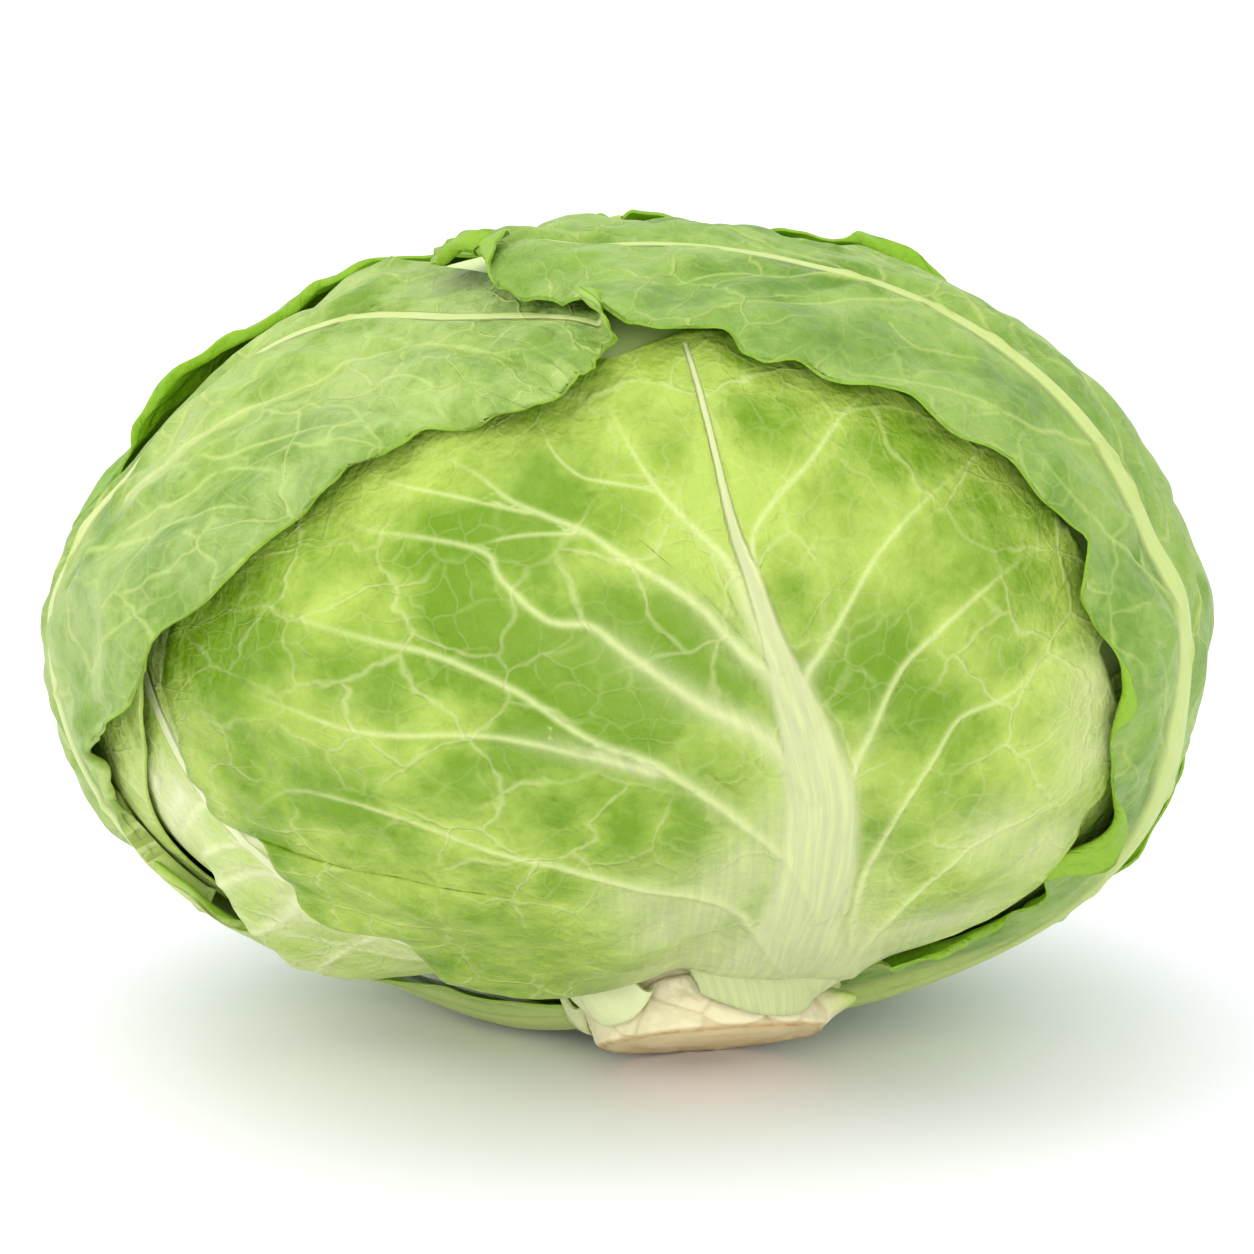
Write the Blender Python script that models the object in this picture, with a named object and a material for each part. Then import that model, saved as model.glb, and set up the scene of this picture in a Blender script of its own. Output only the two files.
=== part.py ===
"""Flat cabbage head lying tipped over on its stem end, stem to the front.

Every leaf is a thin closed blade laid over the dense heart. A blade is drawn in its own
leaf coordinates in degrees: x across the leaf, y along it, measured from the stem end of
the head. A station is a point of the midrib with the two points of the margin that its
side veins run to. The height of a blade over the heart adds up the leaves beneath it.
"""
import math

import bpy
import numpy as np

# Head, metres and degrees
HEAD_CENTRE = np.array([-0.0017, -0.0001, 0.0810])
TIP_FORWARD = 23.5
STEM_LEAN = 9.0
CUT_LEAN = 5.0
FLATNESS_ROLL = 3.0
HEART_HALF_WIDTH = 0.1050
HEART_HALF_DEPTH = 0.1022
HEART_HALF_HEIGHT = 0.0712
STEM_SIDE_FULLNESS = 2.12
CROWN_SIDE_FULLNESS = 2.05

# Swells and hollows of the whole head: turn, x, y, height in metres, spread in degrees
HEAD_SWELLS = (
    (-80.0, 42.0, 137.0, -0.0104, 25.0),
    (-80.0, 14.0, 98.0, -0.0022, 22.0),
    (180.0, 52.0, 203.0, -0.0056, 18.0),
    (-110.0, 7.0, 38.0, -0.0050, 18.0),
    (-80.0, -6.0, 76.0, -0.0010, 18.0),
    (80.0, 6.0, 29.0, -0.0036, 12.0),
    (0.0, 0.0, 0.0, -0.0072, 25.0),
    (180.0, -4.0, 186.0, 0.0016, 24.0),
    (80.0, -14.0, 112.0, 0.0026, 24.0),
    (180.0, 14.0, 33.0, 0.0040, 20.0),
)

# Blades
GAP = 0.0010
BLADE = 0.0009
BLADE_AT_BASE = 0.0018
COVER_START = 4.0
COVER_END = 21.0
MM_PER_DEGREE = 1.5
VEIN_HEIGHT = 0.0009
MIDRIB_WIDTH = 9.5
COLUMNS_FROM_MIDRIB = (0.0, 0.05, 0.12, 0.21, 0.32, 0.43, 0.54, 0.65, 0.77, 0.89, 1.0)
SMALL_COLUMNS_FROM_MIDRIB = (0.0, 0.12, 0.30, 0.52, 0.76, 1.0)

# Lowest height over the floor that each layer reaches, inner face then outer face
OUTERMOST_FLOOR = (0.0011, 0.0)
INNER_LEAF_FLOOR = (0.0028, 0.0018)
HEART_FLOOR = 0.0036

# Stalk and the core inside the heart: distance from the head's centre, radius
STALK_PROFILE = (
    (0.0320, 0.0058),
    (0.0400, 0.0088),
    (0.0520, 0.0118),
    (0.0620, 0.0150),
    (0.0665, 0.0190),
    (0.0695, 0.0206),
    (0.0725, 0.0204),
    (0.0755, 0.0212),
    (0.0780, 0.0216),
    (0.0795, 0.0217),
    (0.0803, 0.0210),
)
STALK_CUT_SHIFT = np.array([0.0035, 0.0, 0.0])
STALK_SIDES = 40
STALK_SCARS = 7
SCAR_DEPTH = 0.0008
STUB_TURN = 92.0
STUB_SPREAD = 15.0
STUB_REACH = 0.0065
POCKET_CLEARANCE = 0.0006
POCKET_MOUTH = 17.6

# Heart
HEART_SIDES = 48
HEART_RINGS = 24
HEART_STEP = 0.0009

# Leaves from the inside out. Each station: midrib point, left margin, right margin
LEAVES = (
    {
        "name": "low_left_leaf",
        "turn": -45.0,
        "colour": (0.70, 0.78, 0.45, 1.0),
        "ruffle": 0.0012,
        "waves": 5.5,
        "midrib": 0.0022,
        "lifts": ((-4.0, 24.0, 0.0010, 8.0),),
        "stations": (
            ((0, 19.5), (-8, 19.5), (8, 19.5)),
            ((-1, 24), (-20, 20), (15, 26)),
            ((-3, 30), (-36, 24), (19, 36)),
            ((-6, 38), (-48, 34), (20, 48)),
            ((-9, 47), (-54, 48), (20, 60)),
            ((-11, 57), (-56, 62), (18, 72)),
            ((-12, 67), (-52, 77), (14, 84)),
            ((-12, 77), (-42, 89), (8, 92)),
            ((-11, 94), (-28, 96), (-2, 95)),
        ),
    },
    {
        "name": "low_right_leaf",
        "turn": 100.0,
        "colour": (0.36, 0.58, 0.16, 1.0),
        "ruffle": 0.0012,
        "waves": 5.0,
        "midrib": 0.0020,
        "lifts": (),
        "stations": (
            ((0, 22), (-7, 22), (7, 22)),
            ((0, 26.5), (-22, 25), (12, 29)),
            ((-1, 32), (-36, 30), (17, 40)),
            ((-3, 40), (-42, 42), (19, 52)),
            ((-6, 48), (-43, 54), (18, 63)),
            ((-10, 56), (-40, 64), (12, 72)),
            ((-16, 65), (-34, 71), (2, 77)),
            ((-20, 78), (-26, 77), (-12, 79)),
        ),
    },
    {
        "name": "front_leaf",
        "turn": 15.0,
        "colour": (0.52, 0.72, 0.20, 1.0),
        "ruffle": 0.0012,
        "waves": 9.0,
        "midrib": 0.0042,
        "lifts": ((-16.0, 12.0, 0.0010, 8.0), (-48.0, 26.0, 0.0012, 9.0)),
        "stations": (
            ((12, 19.5), (5, 19.5), (18, 20)),
            ((12, 21.5), (3.5, 20.5), (22, 24)),
            ((12, 23.5), (-12, 18), (28, 27)),
            ((11.5, 25.5), (-31, 11), (33, 29)),
            ((11, 27.5), (-46, 26), (37, 35)),
            ((11, 30), (-57, 40), (40, 44)),
            ((10.5, 34), (-64, 55), (43, 55)),
            ((10, 40), (-67, 73), (44, 64)),
            ((9, 47), (-61, 91), (42, 74)),
            ((6, 58), (-50, 103), (36, 85)),
            ((4, 68), (-35, 109), (28, 95)),
            ((1, 79), (-20, 110), (17, 102)),
            ((0, 111), (-9, 108), (6, 109)),
        ),
    },
    {
        "name": "side_leaf",
        "turn": -110.0,
        "colour": (0.62, 0.74, 0.36, 1.0),
        "ruffle": 0.0012,
        "waves": 5.0,
        "midrib": 0.0020,
        "lifts": (),
        "stations": (
            ((2, 19.5), (-4, 19.5), (7, 19.5)),
            ((1, 28), (-9, 30), (7, 31)),
            ((0, 39), (-15, 44), (11, 44)),
            ((2, 51), (-18, 60), (20, 60)),
            ((7, 63), (-12, 76), (31, 70)),
            ((14, 75), (0, 90), (43, 75)),
            ((24, 87), (16, 101), (54, 79)),
            ((44, 102), (34, 107), (60, 91)),
        ),
    },
    {
        "name": "left_leaf",
        "turn": -80.0,
        "colour": (0.45, 0.62, 0.33, 1.0),
        "ruffle": 0.0022,
        "waves": 8.0,
        "midrib": 0.0026,
        "lifts": ((70.0, 164.0, 0.0045, 9.0), (14.0, 80.0, 0.0025, 9.0)),
        "stations": (
            ((-15, 14.5), (-20, 10), (-10, 17)),
            ((-19, 22), (-29, 20), (-13, 25)),
            ((-21, 33), (-37, 35), (-13.5, 37)),
            ((-19, 44), (-42, 52), (-12, 48)),
            ((-15.5, 55), (-44, 71), (-9, 59)),
            ((-11, 64), (-42, 89), (-3, 69)),
            ((-6, 72), (-36, 106), (9, 78)),
            ((0, 80), (-27, 121), (24, 84)),
            ((7, 88), (-17, 132), (38, 91)),
            ((13, 98), (-5, 142), (52, 102)),
            ((21, 107.5), (9, 150), (60, 113)),
            ((29, 115), (24, 156), (67, 124)),
            ((39, 126), (40, 162), (73, 138)),
            ((49, 141), (52, 166), (74, 152)),
            ((68, 169), (61, 171), (72, 163)),
        ),
    },
    {
        "name": "right_leaf",
        "turn": 80.0,
        "colour": (0.42, 0.60, 0.32, 1.0),
        "ruffle": 0.0022,
        "waves": 9.5,
        "midrib": 0.0034,
        "lifts": ((-50.0, 181.0, 0.0050, 11.0), (0.0, 56.0, 0.0030, 8.0)),
        "stations": (
            ((17.5, 10.5), (9, 14.5), (23, 6)),
            ((19, 18), (2, 24), (28, 17)),
            ((19, 26), (-2, 33), (33, 32)),
            ((18, 35), (-1, 42), (38, 49)),
            ((15, 44), (-4, 51), (42, 67)),
            ((10, 53), (-11, 59), (44, 88)),
            ((3, 62), (-21, 68), (40, 110)),
            ((-4, 69), (-28, 77), (28, 132)),
            ((-9, 78), (-35, 89), (15, 147)),
            ((-15, 88), (-45, 101), (2, 158)),
            ((-20, 99), (-53, 110), (-10, 168)),
            ((-25, 110), (-58, 121), (-20, 177)),
            ((-30, 122), (-61, 134), (-28, 184)),
            ((-37, 138), (-63, 148), (-34, 189)),
            ((-46, 181), (-57, 176), (-40, 192)),
        ),
    },
    {
        "name": "back_leaf",
        "turn": 180.0,
        "colour": (0.34, 0.56, 0.20, 1.0),
        "ruffle": 0.0020,
        "waves": 10.5,
        "midrib": 0.0040,
        "lifts": (
            (46.0, 199.0, 0.0008, 12.0),
            (-60.0, 30.0, 0.0020, 12.0),
            (-43.0, 188.0, 0.0048, 7.5),
        ),
        "stations": (
            ((0, 20), (-8, 20), (8, 20)),
            ((0, 25), (-16, 25), (12, 25)),
            ((0, 31), (-32, 29), (22, 34)),
            ((0, 38), (-47, 30), (35, 46)),
            ((0, 46), (-60, 31), (49, 62)),
            ((1, 55), (-70, 36), (60, 84)),
            ((1, 65), (-77, 56), (66, 112)),
            ((1, 76), (-80, 92), (70, 144)),
            ((0, 88), (-81, 130), (70, 174)),
            ((-1, 101), (-79, 162), (66, 194)),
            ((-2, 115), (-72, 182), (57, 199)),
            ((-4, 131), (-59, 185), (45, 198)),
            ((-5, 149), (-46, 188), (32, 196)),
            ((-6, 166), (-34, 192), (20, 191)),
            ((-8, 189), (-22, 189), (7, 190)),
        ),
    },
)


def unit(vectors):
    """Vectors scaled to length one."""
    vectors = np.asarray(vectors, dtype=float)
    return vectors / np.linalg.norm(vectors, axis=-1, keepdims=True)


def leaning_axis(tip, lean):
    """Down-pointing axis tipped forward and leant to the right, degrees."""
    forward, side = math.radians(tip), math.radians(lean)
    return unit([
        math.sin(side),
        -math.sin(forward) * math.cos(side),
        -math.cos(forward) * math.cos(side),
    ])


STEM_AXIS = leaning_axis(TIP_FORWARD, STEM_LEAN)
CUT_AXIS = leaning_axis(TIP_FORWARD, CUT_LEAN)
SHORT_AXIS = -leaning_axis(TIP_FORWARD, -FLATNESS_ROLL)
WIDE_AXIS = unit(np.cross([0.0, 1.0, 0.0], SHORT_AXIS))
DEEP_AXIS = np.cross(SHORT_AXIS, WIDE_AXIS)
FRONT_AXIS = unit(np.array([0.0, -1.0, 0.0]) + STEM_AXIS[1] * STEM_AXIS)
RIGHT_AXIS = np.cross(FRONT_AXIS, STEM_AXIS)


def smooth_step(start, end, value):
    """Zero before start, one after end and smooth between."""
    part = np.clip((value - start) / (end - start), 0.0, 1.0)
    return part * part * (3.0 - 2.0 * part)


def turned_axes(turn):
    """Outward and sideways axes of a leaf that leaves the stem at this turn."""
    angle = math.radians(turn)
    outward = FRONT_AXIS * math.cos(angle) + RIGHT_AXIS * math.sin(angle)
    sideways = RIGHT_AXIS * math.cos(angle) - FRONT_AXIS * math.sin(angle)
    return outward, sideways


def directions(turn, across, along):
    """Directions from the head's centre at leaf coordinates in degrees."""
    outward, sideways = turned_axes(turn)
    a, b = np.radians(across), np.radians(along)
    return (
        (np.cos(a) * np.sin(b))[..., None] * outward
        + (np.cos(a) * np.cos(b))[..., None] * STEM_AXIS
        + np.sin(a)[..., None] * sideways
    )


def leaf_coordinates(turn, points):
    """Leaf coordinates in degrees of directions, y kept between -70 and 290."""
    outward, sideways = turned_axes(turn)
    across = np.degrees(np.arcsin(np.clip(points @ sideways, -1.0, 1.0)))
    along = np.degrees(np.arctan2(points @ outward, points @ STEM_AXIS))
    return across, (along + 70.0) % 360.0 - 70.0


def heart_radius(points):
    """Distance from the centre to the heart before its underside is flattened.

    A squashed ball whose stem side is a little fuller than its crown side, with the
    listed swells and hollows added as soft bumps.
    """
    stem_share = smooth_step(-0.35, 0.35, points @ STEM_AXIS)
    power = CROWN_SIDE_FULLNESS + (STEM_SIDE_FULLNESS - CROWN_SIDE_FULLNESS) * stem_share
    wide = points @ WIDE_AXIS / HEART_HALF_WIDTH
    deep = points @ DEEP_AXIS / HEART_HALF_DEPTH
    tall = np.abs(points @ SHORT_AXIS) / HEART_HALF_HEIGHT
    level = np.sqrt(wide ** 2 + deep ** 2)
    radius = (level ** power + tall ** power) ** (-1.0 / power)
    for turn, across, along, height, spread in HEAD_SWELLS:
        middle = directions(turn, np.array(across), np.array(along))
        apart = np.degrees(np.arccos(np.clip(points @ middle, -1.0, 1.0)))
        radius = radius + height * np.exp(-(apart / spread) ** 2)
    return radius


def above_floor(points, radius, height):
    """Radius cut back so that the surface stays this high over the floor."""
    down = np.maximum(-points[..., 2], 1e-6)
    return np.minimum(radius, (HEAD_CENTRE[2] - height) / down)


def midway(values):
    """Station values with a smooth in-between value after each, ends kept."""
    values = np.asarray(values, dtype=float)
    padded = np.concatenate([
        2.0 * values[:1] - values[1:2],
        values,
        2.0 * values[-1:] - values[-2:-1],
    ])
    between = (9.0 * (padded[1:-2] + padded[2:-1]) - padded[:-3] - padded[3:]) / 16.0
    rows = np.empty((2 * len(values) - 1,) + values.shape[1:])
    rows[0::2] = values
    rows[1::2] = between
    return rows


def leaf_columns(leaf):
    """Column positions from -1 at the left margin to 1 at the right margin."""
    small = len(leaf["stations"]) < 10
    half = np.array(SMALL_COLUMNS_FROM_MIDRIB if small else COLUMNS_FROM_MIDRIB)
    return np.concatenate([-half[:0:-1], half])


def leaf_outline(leaf):
    """Leaf coordinates of the grid: rows run as side veins from midrib to margins.

    Each half row is a curve that leaves the midrib along it and bends to the margin.
    """
    stations = np.asarray(leaf["stations"], dtype=float)
    midrib, left, right = (midway(stations[:, i]) for i in range(3))
    forward = unit(np.gradient(midrib, axis=0))
    share = np.linspace(0.0, 1.0, len(midrib))
    bend = 0.22 * np.minimum(1.0, 6.0 * np.minimum(share, 1.0 - share))
    columns = leaf_columns(leaf)
    grid = np.empty((len(midrib), len(columns), 2))
    for i, column in enumerate(columns):
        margin = left if column < 0 else right
        reach = margin - midrib
        length = np.linalg.norm(reach, axis=1, keepdims=True)
        pull = midrib + forward * length * bend[:, None] + 0.2 * reach
        s = abs(column)
        grid[:, i] = (1 - s) ** 2 * midrib + 2 * s * (1 - s) * pull + s * s * margin
    return grid


def distance_to_line(across, along, line):
    """Distance in degrees to a broken line, and where along it the nearest point is."""
    nearest = np.full(across.shape, 1e9)
    place = np.zeros(across.shape)
    narrowing = np.cos(np.radians(across))
    for i in range(len(line) - 1):
        start, step = line[i], line[i + 1] - line[i]
        dx, dy = across - start[0], along - start[1]
        t = np.clip((dx * step[0] + dy * step[1]) / max(step @ step, 1e-9), 0.0, 1.0)
        gap = np.hypot(dx - t * step[0], (dy - t * step[1]) * narrowing)
        closer = gap < nearest
        nearest = np.where(closer, gap, nearest)
        place = np.where(closer, (i + t) / (len(line) - 1), place)
    return nearest, place


def inside_outline(across, along, outline):
    """True where a point lies inside a closed broken line."""
    inside = np.zeros(across.shape, dtype=bool)
    for start, end in zip(outline, np.roll(outline, -1, axis=0)):
        spans = (start[1] > along) != (end[1] > along)
        rise = np.where(end[1] == start[1], 1e-9, end[1] - start[1])
        crossing = start[0] + (along - start[1]) / rise * (end[0] - start[0])
        inside ^= spans & (across < crossing)
    return inside


def cover(leaf, points):
    """One where the leaf lies over the head, easing to zero outside its margin."""
    across, along = leaf_coordinates(leaf["turn"], points)
    grid = leaf_outline(leaf)
    edge = np.concatenate([grid[0], grid[1:, -1], grid[-1, -2::-1], grid[-2:0:-1, 0]])
    apart, _ = distance_to_line(across, along, np.concatenate([edge, edge[:1]]))
    outside = np.where(inside_outline(across, along, edge), 0.0, apart * MM_PER_DEGREE)
    return 1.0 - smooth_step(COVER_START, COVER_END, outside)


def midrib_ridge(leaf, across, along, widening):
    """Height of the raised midrib, highest and widest at the stem and low at the tip."""
    grid = leaf_outline(leaf)
    apart, place = distance_to_line(across, along, grid[:, grid.shape[1] // 2])
    width = MIDRIB_WIDTH * widening * (1.0 - 0.75 * smooth_step(0.0, 0.8, place))
    fade = 1.0 - smooth_step(0.0, 0.95, place)
    return leaf["midrib"] * fade * np.exp(-(apart * MM_PER_DEGREE / width) ** 2)


def side_veins(leaf, grid):
    """Height of the side veins: the station rows between the first and last."""
    rows, columns = grid.shape[:2]
    on_station = (np.arange(rows) % 2 == 0) * 1.0
    on_station[:3] = 0.0
    on_station[-1] = 0.0
    from_midrib = np.abs(leaf_columns(leaf))
    fade = smooth_step(0.0, 0.08, from_midrib) * (1.0 - 0.85 * from_midrib)
    return VEIN_HEIGHT * on_station[:, None] * fade[None, :]


def stack_height(order, points):
    """Height over the heart of the leaves that lie beneath the leaf of this order."""
    height = np.zeros(points.shape[:-1])
    for leaf in LEAVES[:order]:
        share = cover(leaf, points)
        across, along = leaf_coordinates(leaf["turn"], points)
        ridge = midrib_ridge(leaf, across, along, 1.5)
        height += share * (BLADE + VEIN_HEIGHT + GAP + ridge)
    return height


def leaf_faces(order):
    """Inner and outer face of a leaf as two grids of points."""
    leaf = LEAVES[order]
    grid = leaf_outline(leaf)
    across, along = grid[..., 0], grid[..., 1]
    points = directions(leaf["turn"], across, along)
    inner = heart_radius(points) + stack_height(order, points) + GAP
    free = np.ones(across.shape)
    for upper in LEAVES[order + 1:]:
        free *= 1.0 - cover(upper, points)
    share = np.linspace(0.0, 1.0, len(grid))[:, None]
    columns = leaf_columns(leaf)[None, :]
    phase = np.where(columns < 0, 0.7, 2.9) + 1.4 * np.sin(9.0 * share)
    wave = 0.5 + 0.5 * np.sin(2.0 * math.pi * leaf["waves"] * share + phase)
    inner += leaf["ruffle"] * wave * np.abs(columns) ** 4 * free * smooth_step(0.05, 0.2, share)
    for x, y, height, spread in leaf["lifts"]:
        apart = np.hypot(across - x, (along - y) * np.cos(np.radians(x)))
        inner += height * np.exp(-(apart / spread) ** 2) * free
    base = 1.0 - smooth_step(0.0, 0.3, share)
    thickness = BLADE + (BLADE_AT_BASE - BLADE) * base * (1.0 - np.abs(columns))
    ridge = midrib_ridge(leaf, across, along, 1.0)
    outer = inner + thickness + ridge + side_veins(leaf, grid)
    floors = OUTERMOST_FLOOR if order == len(LEAVES) - 1 else INNER_LEAF_FLOOR
    inner = above_floor(points, inner, floors[0])
    outer = above_floor(points, outer, floors[1])
    return (
        HEAD_CENTRE + points * inner[..., None],
        HEAD_CENTRE + points * outer[..., None],
    )


def grid_triangles(rows, columns, offset, flip):
    """Two triangles for each cell of a grid of points."""
    faces = []
    for r in range(rows - 1):
        for c in range(columns - 1):
            a = offset + r * columns + c
            b, d = a + 1, a + columns
            e = d + 1
            pair = [(a, b, e), (a, e, d)]
            faces += [t[::-1] for t in pair] if flip else pair
    return faces


def blade_solid(inner, outer):
    """Closed blade between two faces that are split into triangles alike."""
    rows, columns = inner.shape[:2]
    count = rows * columns
    vertices = np.concatenate([inner.reshape(-1, 3), outer.reshape(-1, 3)])
    faces = grid_triangles(rows, columns, 0, True)
    faces += grid_triangles(rows, columns, count, False)
    border = [c for c in range(columns)]
    border += [r * columns + columns - 1 for r in range(1, rows)]
    border += [(rows - 1) * columns + c for c in range(columns - 2, -1, -1)]
    border += [r * columns for r in range(rows - 2, 0, -1)]
    for a, b in zip(border, border[1:] + border[:1]):
        faces += [(a, b, a + count), (b, b + count, a + count)]
    return vertices, faces


def ring_solid(rings, first, last):
    """Closed solid of rings of points with a single point at each end."""
    count, sides = rings.shape[:2]
    vertices = np.concatenate([rings.reshape(-1, 3), [first, last]])
    start, end = count * sides, count * sides + 1
    faces = []
    for s in range(sides):
        t = (s + 1) % sides
        faces.append((start, s, t))
        faces.append((end, (count - 1) * sides + t, (count - 1) * sides + s))
        for r in range(count - 1):
            a, b = r * sides + s, r * sides + t
            faces += [(a, b + sides, b), (a, a + sides, b + sides)]
    return vertices, faces


def stalk_rings(profile, widening, shaped):
    """Rings about the stem axis, eased towards the plane that the stem was cut along."""
    turns = np.linspace(0.0, 2.0 * math.pi, STALK_SIDES, endpoint=False)
    rings = []
    for distance, radius in profile:
        ease = float(smooth_step(0.066, 0.0795, np.array(distance)))
        axis = unit(STEM_AXIS * (1.0 - ease) + CUT_AXIS * ease)
        front = unit(FRONT_AXIS - axis * (FRONT_AXIS @ axis))
        right = np.cross(front, axis)
        middle = HEAD_CENTRE + STEM_AXIS * distance + STALK_CUT_SHIFT * ease
        reach = np.full(STALK_SIDES, radius + widening)
        if shaped:
            out = float(smooth_step(0.066, 0.072, np.array(distance)))
            reach -= SCAR_DEPTH * out * np.abs(np.sin(0.5 * STALK_SCARS * turns + 0.4))
            apart = (np.degrees(turns) - STUB_TURN + 180.0) % 360.0 - 180.0
            stub_level = math.exp(-((distance - 0.0782) / 0.0022) ** 2)
            reach += STUB_REACH * stub_level * np.exp(-(apart / STUB_SPREAD) ** 4)
        ring = (
            middle
            + np.cos(turns)[:, None] * reach[:, None] * front
            + np.sin(turns)[:, None] * reach[:, None] * right
        )
        rings.append(ring)
    return np.array(rings)


def stalk_solid():
    """Cut stalk with its core, its lowest edge lying on the floor."""
    rings = stalk_rings(STALK_PROFILE, 0.0, True)
    rings[..., 2] = np.maximum(rings[..., 2], 0.0)
    first = HEAD_CENTRE + STEM_AXIS * (STALK_PROFILE[0][0] - 0.001)
    last = rings[-1].mean(axis=0)
    return ring_solid(rings, first, last)


def heart_relief(points):
    """Low steps where the inner leaves overlap, each fading out behind its margin."""
    relief = np.zeros(points.shape[:-1])
    for turn, edge, rise in ((0.0, 118.0, 1.0), (140.0, 104.0, 0.8), (-110.0, 96.0, 0.7)):
        across, along = leaf_coordinates(turn, points)
        margin = edge - 0.012 * across ** 2
        behind = margin - along
        relief += rise * smooth_step(-6.0, 2.0, behind) * (1.0 - smooth_step(2.0, 60.0, behind))
    return HEART_STEP * relief


def heart_solid():
    """Dense inner head with a pocket at the stem end for the core."""
    turns = np.linspace(0.0, 360.0, HEART_SIDES, endpoint=False)
    rings = []
    for tilt in np.linspace(180.0 - 5.0, POCKET_MOUTH, HEART_RINGS):
        sines = np.sin(np.radians(tilt))
        angles = np.radians(turns)
        points = (
            np.cos(angles)[:, None] * sines * FRONT_AXIS
            + np.sin(angles)[:, None] * sines * RIGHT_AXIS
            + np.cos(np.radians(tilt)) * STEM_AXIS
        )
        radius = heart_radius(points) - HEART_STEP * 3.0 + heart_relief(points)
        radius = above_floor(points, radius, HEART_FLOOR)
        rings.append(HEAD_CENTRE + points * radius[:, None])
    crown = unit(-STEM_AXIS)
    tip = HEAD_CENTRE + crown * (heart_radius(crown) - HEART_STEP * 3.0 + heart_relief(crown))
    for distance, radius in STALK_PROFILE[4::-1]:
        around = np.radians(turns)
        reach = radius + POCKET_CLEARANCE
        rings.append(
            HEAD_CENTRE
            + STEM_AXIS * distance
            + np.cos(around)[:, None] * reach * FRONT_AXIS
            + np.sin(around)[:, None] * reach * RIGHT_AXIS
        )
    bottom = HEAD_CENTRE + STEM_AXIS * (STALK_PROFILE[0][0] - 0.0025)
    return ring_solid(np.array(rings), tip, bottom)


def add_part(name, vertices, faces, colour, roughness):
    """Named object with its own material, shaded smooth."""
    mesh = bpy.data.meshes.new(name)
    mesh.from_pydata(np.asarray(vertices).tolist(), [], faces)
    mesh.validate()
    mesh.polygons.foreach_set("use_smooth", [True] * len(mesh.polygons))
    mesh.update()
    material = bpy.data.materials.new(name + "_material")
    material.use_nodes = True
    shader = material.node_tree.nodes["Principled BSDF"]
    shader.inputs["Base Color"].default_value = colour
    shader.inputs["Roughness"].default_value = roughness
    mesh.materials.append(material)
    part = bpy.data.objects.new(name, mesh)
    bpy.context.scene.collection.objects.link(part)
    return part


def build():
    """Heart, stalk and leaves of the cabbage."""
    for old in list(bpy.data.objects):
        bpy.data.objects.remove(old, do_unlink=True)
    vertices, faces = heart_solid()
    add_part("heart", vertices, faces, (0.60, 0.74, 0.34, 1.0), 0.45)
    vertices, faces = stalk_solid()
    add_part("stalk", vertices, faces, (0.72, 0.62, 0.42, 1.0), 0.6)
    for order, leaf in enumerate(LEAVES):
        vertices, faces = blade_solid(*leaf_faces(order))
        add_part(leaf["name"], vertices, faces, leaf["colour"], 0.4)


build()
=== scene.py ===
import math
from functools import partial

import bpy
import numpy as np
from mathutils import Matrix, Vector


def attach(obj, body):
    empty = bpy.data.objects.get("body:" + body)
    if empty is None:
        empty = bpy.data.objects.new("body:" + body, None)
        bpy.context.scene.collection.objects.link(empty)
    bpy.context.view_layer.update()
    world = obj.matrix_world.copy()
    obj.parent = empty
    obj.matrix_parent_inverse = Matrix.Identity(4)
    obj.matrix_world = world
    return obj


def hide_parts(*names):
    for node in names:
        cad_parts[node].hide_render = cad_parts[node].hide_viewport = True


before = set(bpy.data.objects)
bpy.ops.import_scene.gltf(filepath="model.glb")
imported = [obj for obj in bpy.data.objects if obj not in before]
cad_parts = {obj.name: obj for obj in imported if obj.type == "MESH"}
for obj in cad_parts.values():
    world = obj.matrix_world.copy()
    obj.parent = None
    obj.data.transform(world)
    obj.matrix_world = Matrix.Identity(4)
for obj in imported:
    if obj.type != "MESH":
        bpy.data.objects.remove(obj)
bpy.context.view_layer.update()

bl_info = {
    "name": "Cabbage Head", "version": (1, 0, 0), "blender": (4, 5, 0),
    "location": "View3D > Sidebar > Cabbage",
    "description": "Flat cabbage head of separate leaves round a heart and a cut stalk",
    "category": "Add Mesh",
}

# Head, metres and degrees: the same named sizes as the solids
HEAD_CENTRE = np.array([-0.0017, -0.0001, 0.0810])
TIP_FORWARD = 23.5
STEM_LEAN = 9.0
CUT_LEAN = 5.0
FLATNESS_ROLL = 3.0
HEART_HALF_WIDTH = 0.1050
HEART_HALF_DEPTH = 0.1022
HEART_HALF_HEIGHT = 0.0712
STEM_SIDE_FULLNESS = 2.12
CROWN_SIDE_FULLNESS = 2.05
# Swells and hollows: turn, x, y, height in metres, spread in degrees
HEAD_SWELLS = (
    (-80.0, 42.0, 137.0, -0.0104, 25.0), (-80.0, 14.0, 98.0, -0.0022, 22.0),
    (180.0, 52.0, 203.0, -0.0056, 18.0), (-110.0, 7.0, 38.0, -0.0050, 18.0),
    (-80.0, -6.0, 76.0, -0.0010, 18.0), (80.0, 6.0, 29.0, -0.0036, 12.0), (0.0, 0.0, 0.0, -0.0072, 25.0),
    (180.0, -4.0, 186.0, 0.0016, 24.0), (80.0, -14.0, 112.0, 0.0026, 24.0),
    (180.0, 14.0, 33.0, 0.0040, 20.0),
)

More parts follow.
